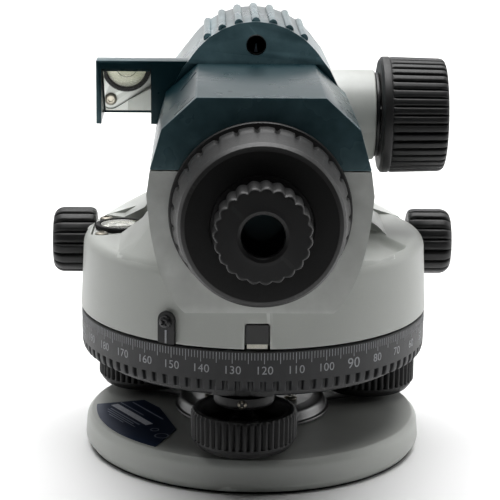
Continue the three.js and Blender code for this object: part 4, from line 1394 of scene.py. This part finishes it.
def plain(name, colour, roughness):
    material = bpy.data.materials.new(name)
    material.use_nodes = True
    shader = material.node_tree.nodes["Principled BSDF"]
    shader.inputs["Base Color"].default_value = (*colour, 1)
    shader.inputs["Roughness"].default_value = roughness
    return material


def staged(name, bm, colour, roughness):
    for face in bm.faces:
        face.smooth = True
    mesh = bpy.data.meshes.new(name)
    bm.to_mesh(mesh)
    bm.free()
    item = bpy.data.objects.new(name, mesh)
    bpy.context.scene.collection.objects.link(item)
    mesh.materials.append(plain(name, colour, roughness))
    return item


FLOOR_FRONT, FLOOR_BACK, FLOOR_HALF_WIDTH = -0.34, 1.6, 1.7
WALL_COVE, WALL_TOP = 0.8, 4.0
BOWL_FLAT, BOWL_COVE, BOWL_TOP, BOWL_SIDES = 3.4, 1.2, 5.0, 72
BOWL_Z = -0.0005  # just under the floor
PALE = (0.92, 0.92, 0.92)


def cove(start, radius):
    """The quarter circle between a floor and a wall."""
    angles = [math.radians(a) for a in range(10, 91, 10)]
    return [(start + radius * math.sin(a), radius - radius * math.cos(a)) for a in angles]


def backdrop():
    """A floor that sweeps up into a wall, in metres."""
    profile = [(FLOOR_FRONT, 0), (FLOOR_BACK, 0)] + cove(FLOOR_BACK, WALL_COVE)
    profile += [(FLOOR_BACK + WALL_COVE, WALL_TOP)]
    bm = bmesh.new()
    rows = [[bm.verts.new((x, y, z)) for y, z in profile] for x in (-FLOOR_HALF_WIDTH, FLOOR_HALF_WIDTH)]
    for i in range(len(profile) - 1):
        bm.faces.new((rows[0][i], rows[1][i], rows[1][i + 1], rows[0][i + 1]))
    return staged("backdrop", bm, PALE, 0.6)


def surround():
    """The rest of the studio, a bowl just under the floor that throws no light back on the object."""
    profile = [(radius, BOWL_Z) for radius in (0.01, 0.5, 3.0, BOWL_FLAT)] + cove(BOWL_FLAT, BOWL_COVE)
    profile += [(BOWL_FLAT + BOWL_COVE, BOWL_TOP)]
    bm = bmesh.new()
    turns = [math.tau * i / BOWL_SIDES for i in range(BOWL_SIDES)]
    rings = [
        [bm.verts.new((radius * math.cos(a), radius * math.sin(a), z)) for a in turns] for radius,
        z in profile
    ]
    for low, high in zip(rings, rings[1:]):
        for i in range(BOWL_SIDES):
            after = (i + 1) % BOWL_SIDES
            bm.faces.new((low[i], high[i], high[after], low[after]))
    bowl = staged("surround", bm, PALE, 0.6)
    shader = bowl.data.materials[0].node_tree.nodes["Principled BSDF"]
    shader.inputs["Emission Color"].default_value = (1, 1, 1, 1)
    shader.inputs["Emission Strength"].default_value = 0.5
    bowl.visible_diffuse = False
    bowl.visible_glossy = False
    bowl.visible_transmission = False
    bowl.visible_shadow = False
    return bowl


backdrop()
surround()


def softbox(name, place, aim, size, watts, spread=180):
    light = bpy.data.lights.new(name, "AREA")
    light.shape = "RECTANGLE"
    light.size, light.size_y = size
    light.energy = watts
    light.spread = math.radians(spread)
    holder = bpy.data.objects.new(name, light)
    bpy.context.scene.collection.objects.link(holder)
    holder.location = place
    holder.rotation_euler = (Vector(aim) - Vector(place)).to_track_quat("-Z", "Y").to_euler()
    return holder


CENTRE = (0, 0, 0.08)
softbox("overhead", (0, 0.12, 1.0), (0, 0.12, 0), (0.95, 0.75), 4.5, 100)
softbox("back_overhead", (0, 1.25, 1.4), (0, 1.25, 0), (3.2, 1.3), 26, 120)
softbox("left_side", (-0.85, 0.30, 0.35), CENTRE, (0.8, 0.6), 1.0)
softbox("right_side", (0.85, 0.30, 0.35), CENTRE, (0.8, 0.6), 2.2)
softbox("wall_wash", (0, 0.9, 1.6), (0, 2.4, 0.8), (3.0, 0.6), 25)

world = bpy.data.worlds.new("studio")
world.use_nodes = True
world.node_tree.nodes["Background"].inputs["Color"].default_value = (0.95, 0.97, 1.0, 1)
world.node_tree.nodes["Background"].inputs["Strength"].default_value = 0.012
bpy.context.scene.world = world
bpy.context.scene.view_settings.view_transform = "Standard"

CAMERA_PLACE, CAMERA_LENS = (-0.016, -0.640, 0.2233), 141.27
LOOKS_DOWN, LOOKS_LEFT, CAMERA_ROLL = 13.781, -1.322, 0.6  # degrees
camera_data = bpy.data.cameras.new("camera")
camera_data.lens = CAMERA_LENS
camera_data.sensor_width = 36
camera = bpy.data.objects.new("camera", camera_data)
bpy.context.scene.collection.objects.link(camera)
camera.location = CAMERA_PLACE
camera.rotation_euler = (math.radians(90 - LOOKS_DOWN), 0, math.radians(LOOKS_LEFT))
camera.rotation_euler.rotate_axis("Z", math.radians(CAMERA_ROLL))
bpy.context.scene.camera = camera

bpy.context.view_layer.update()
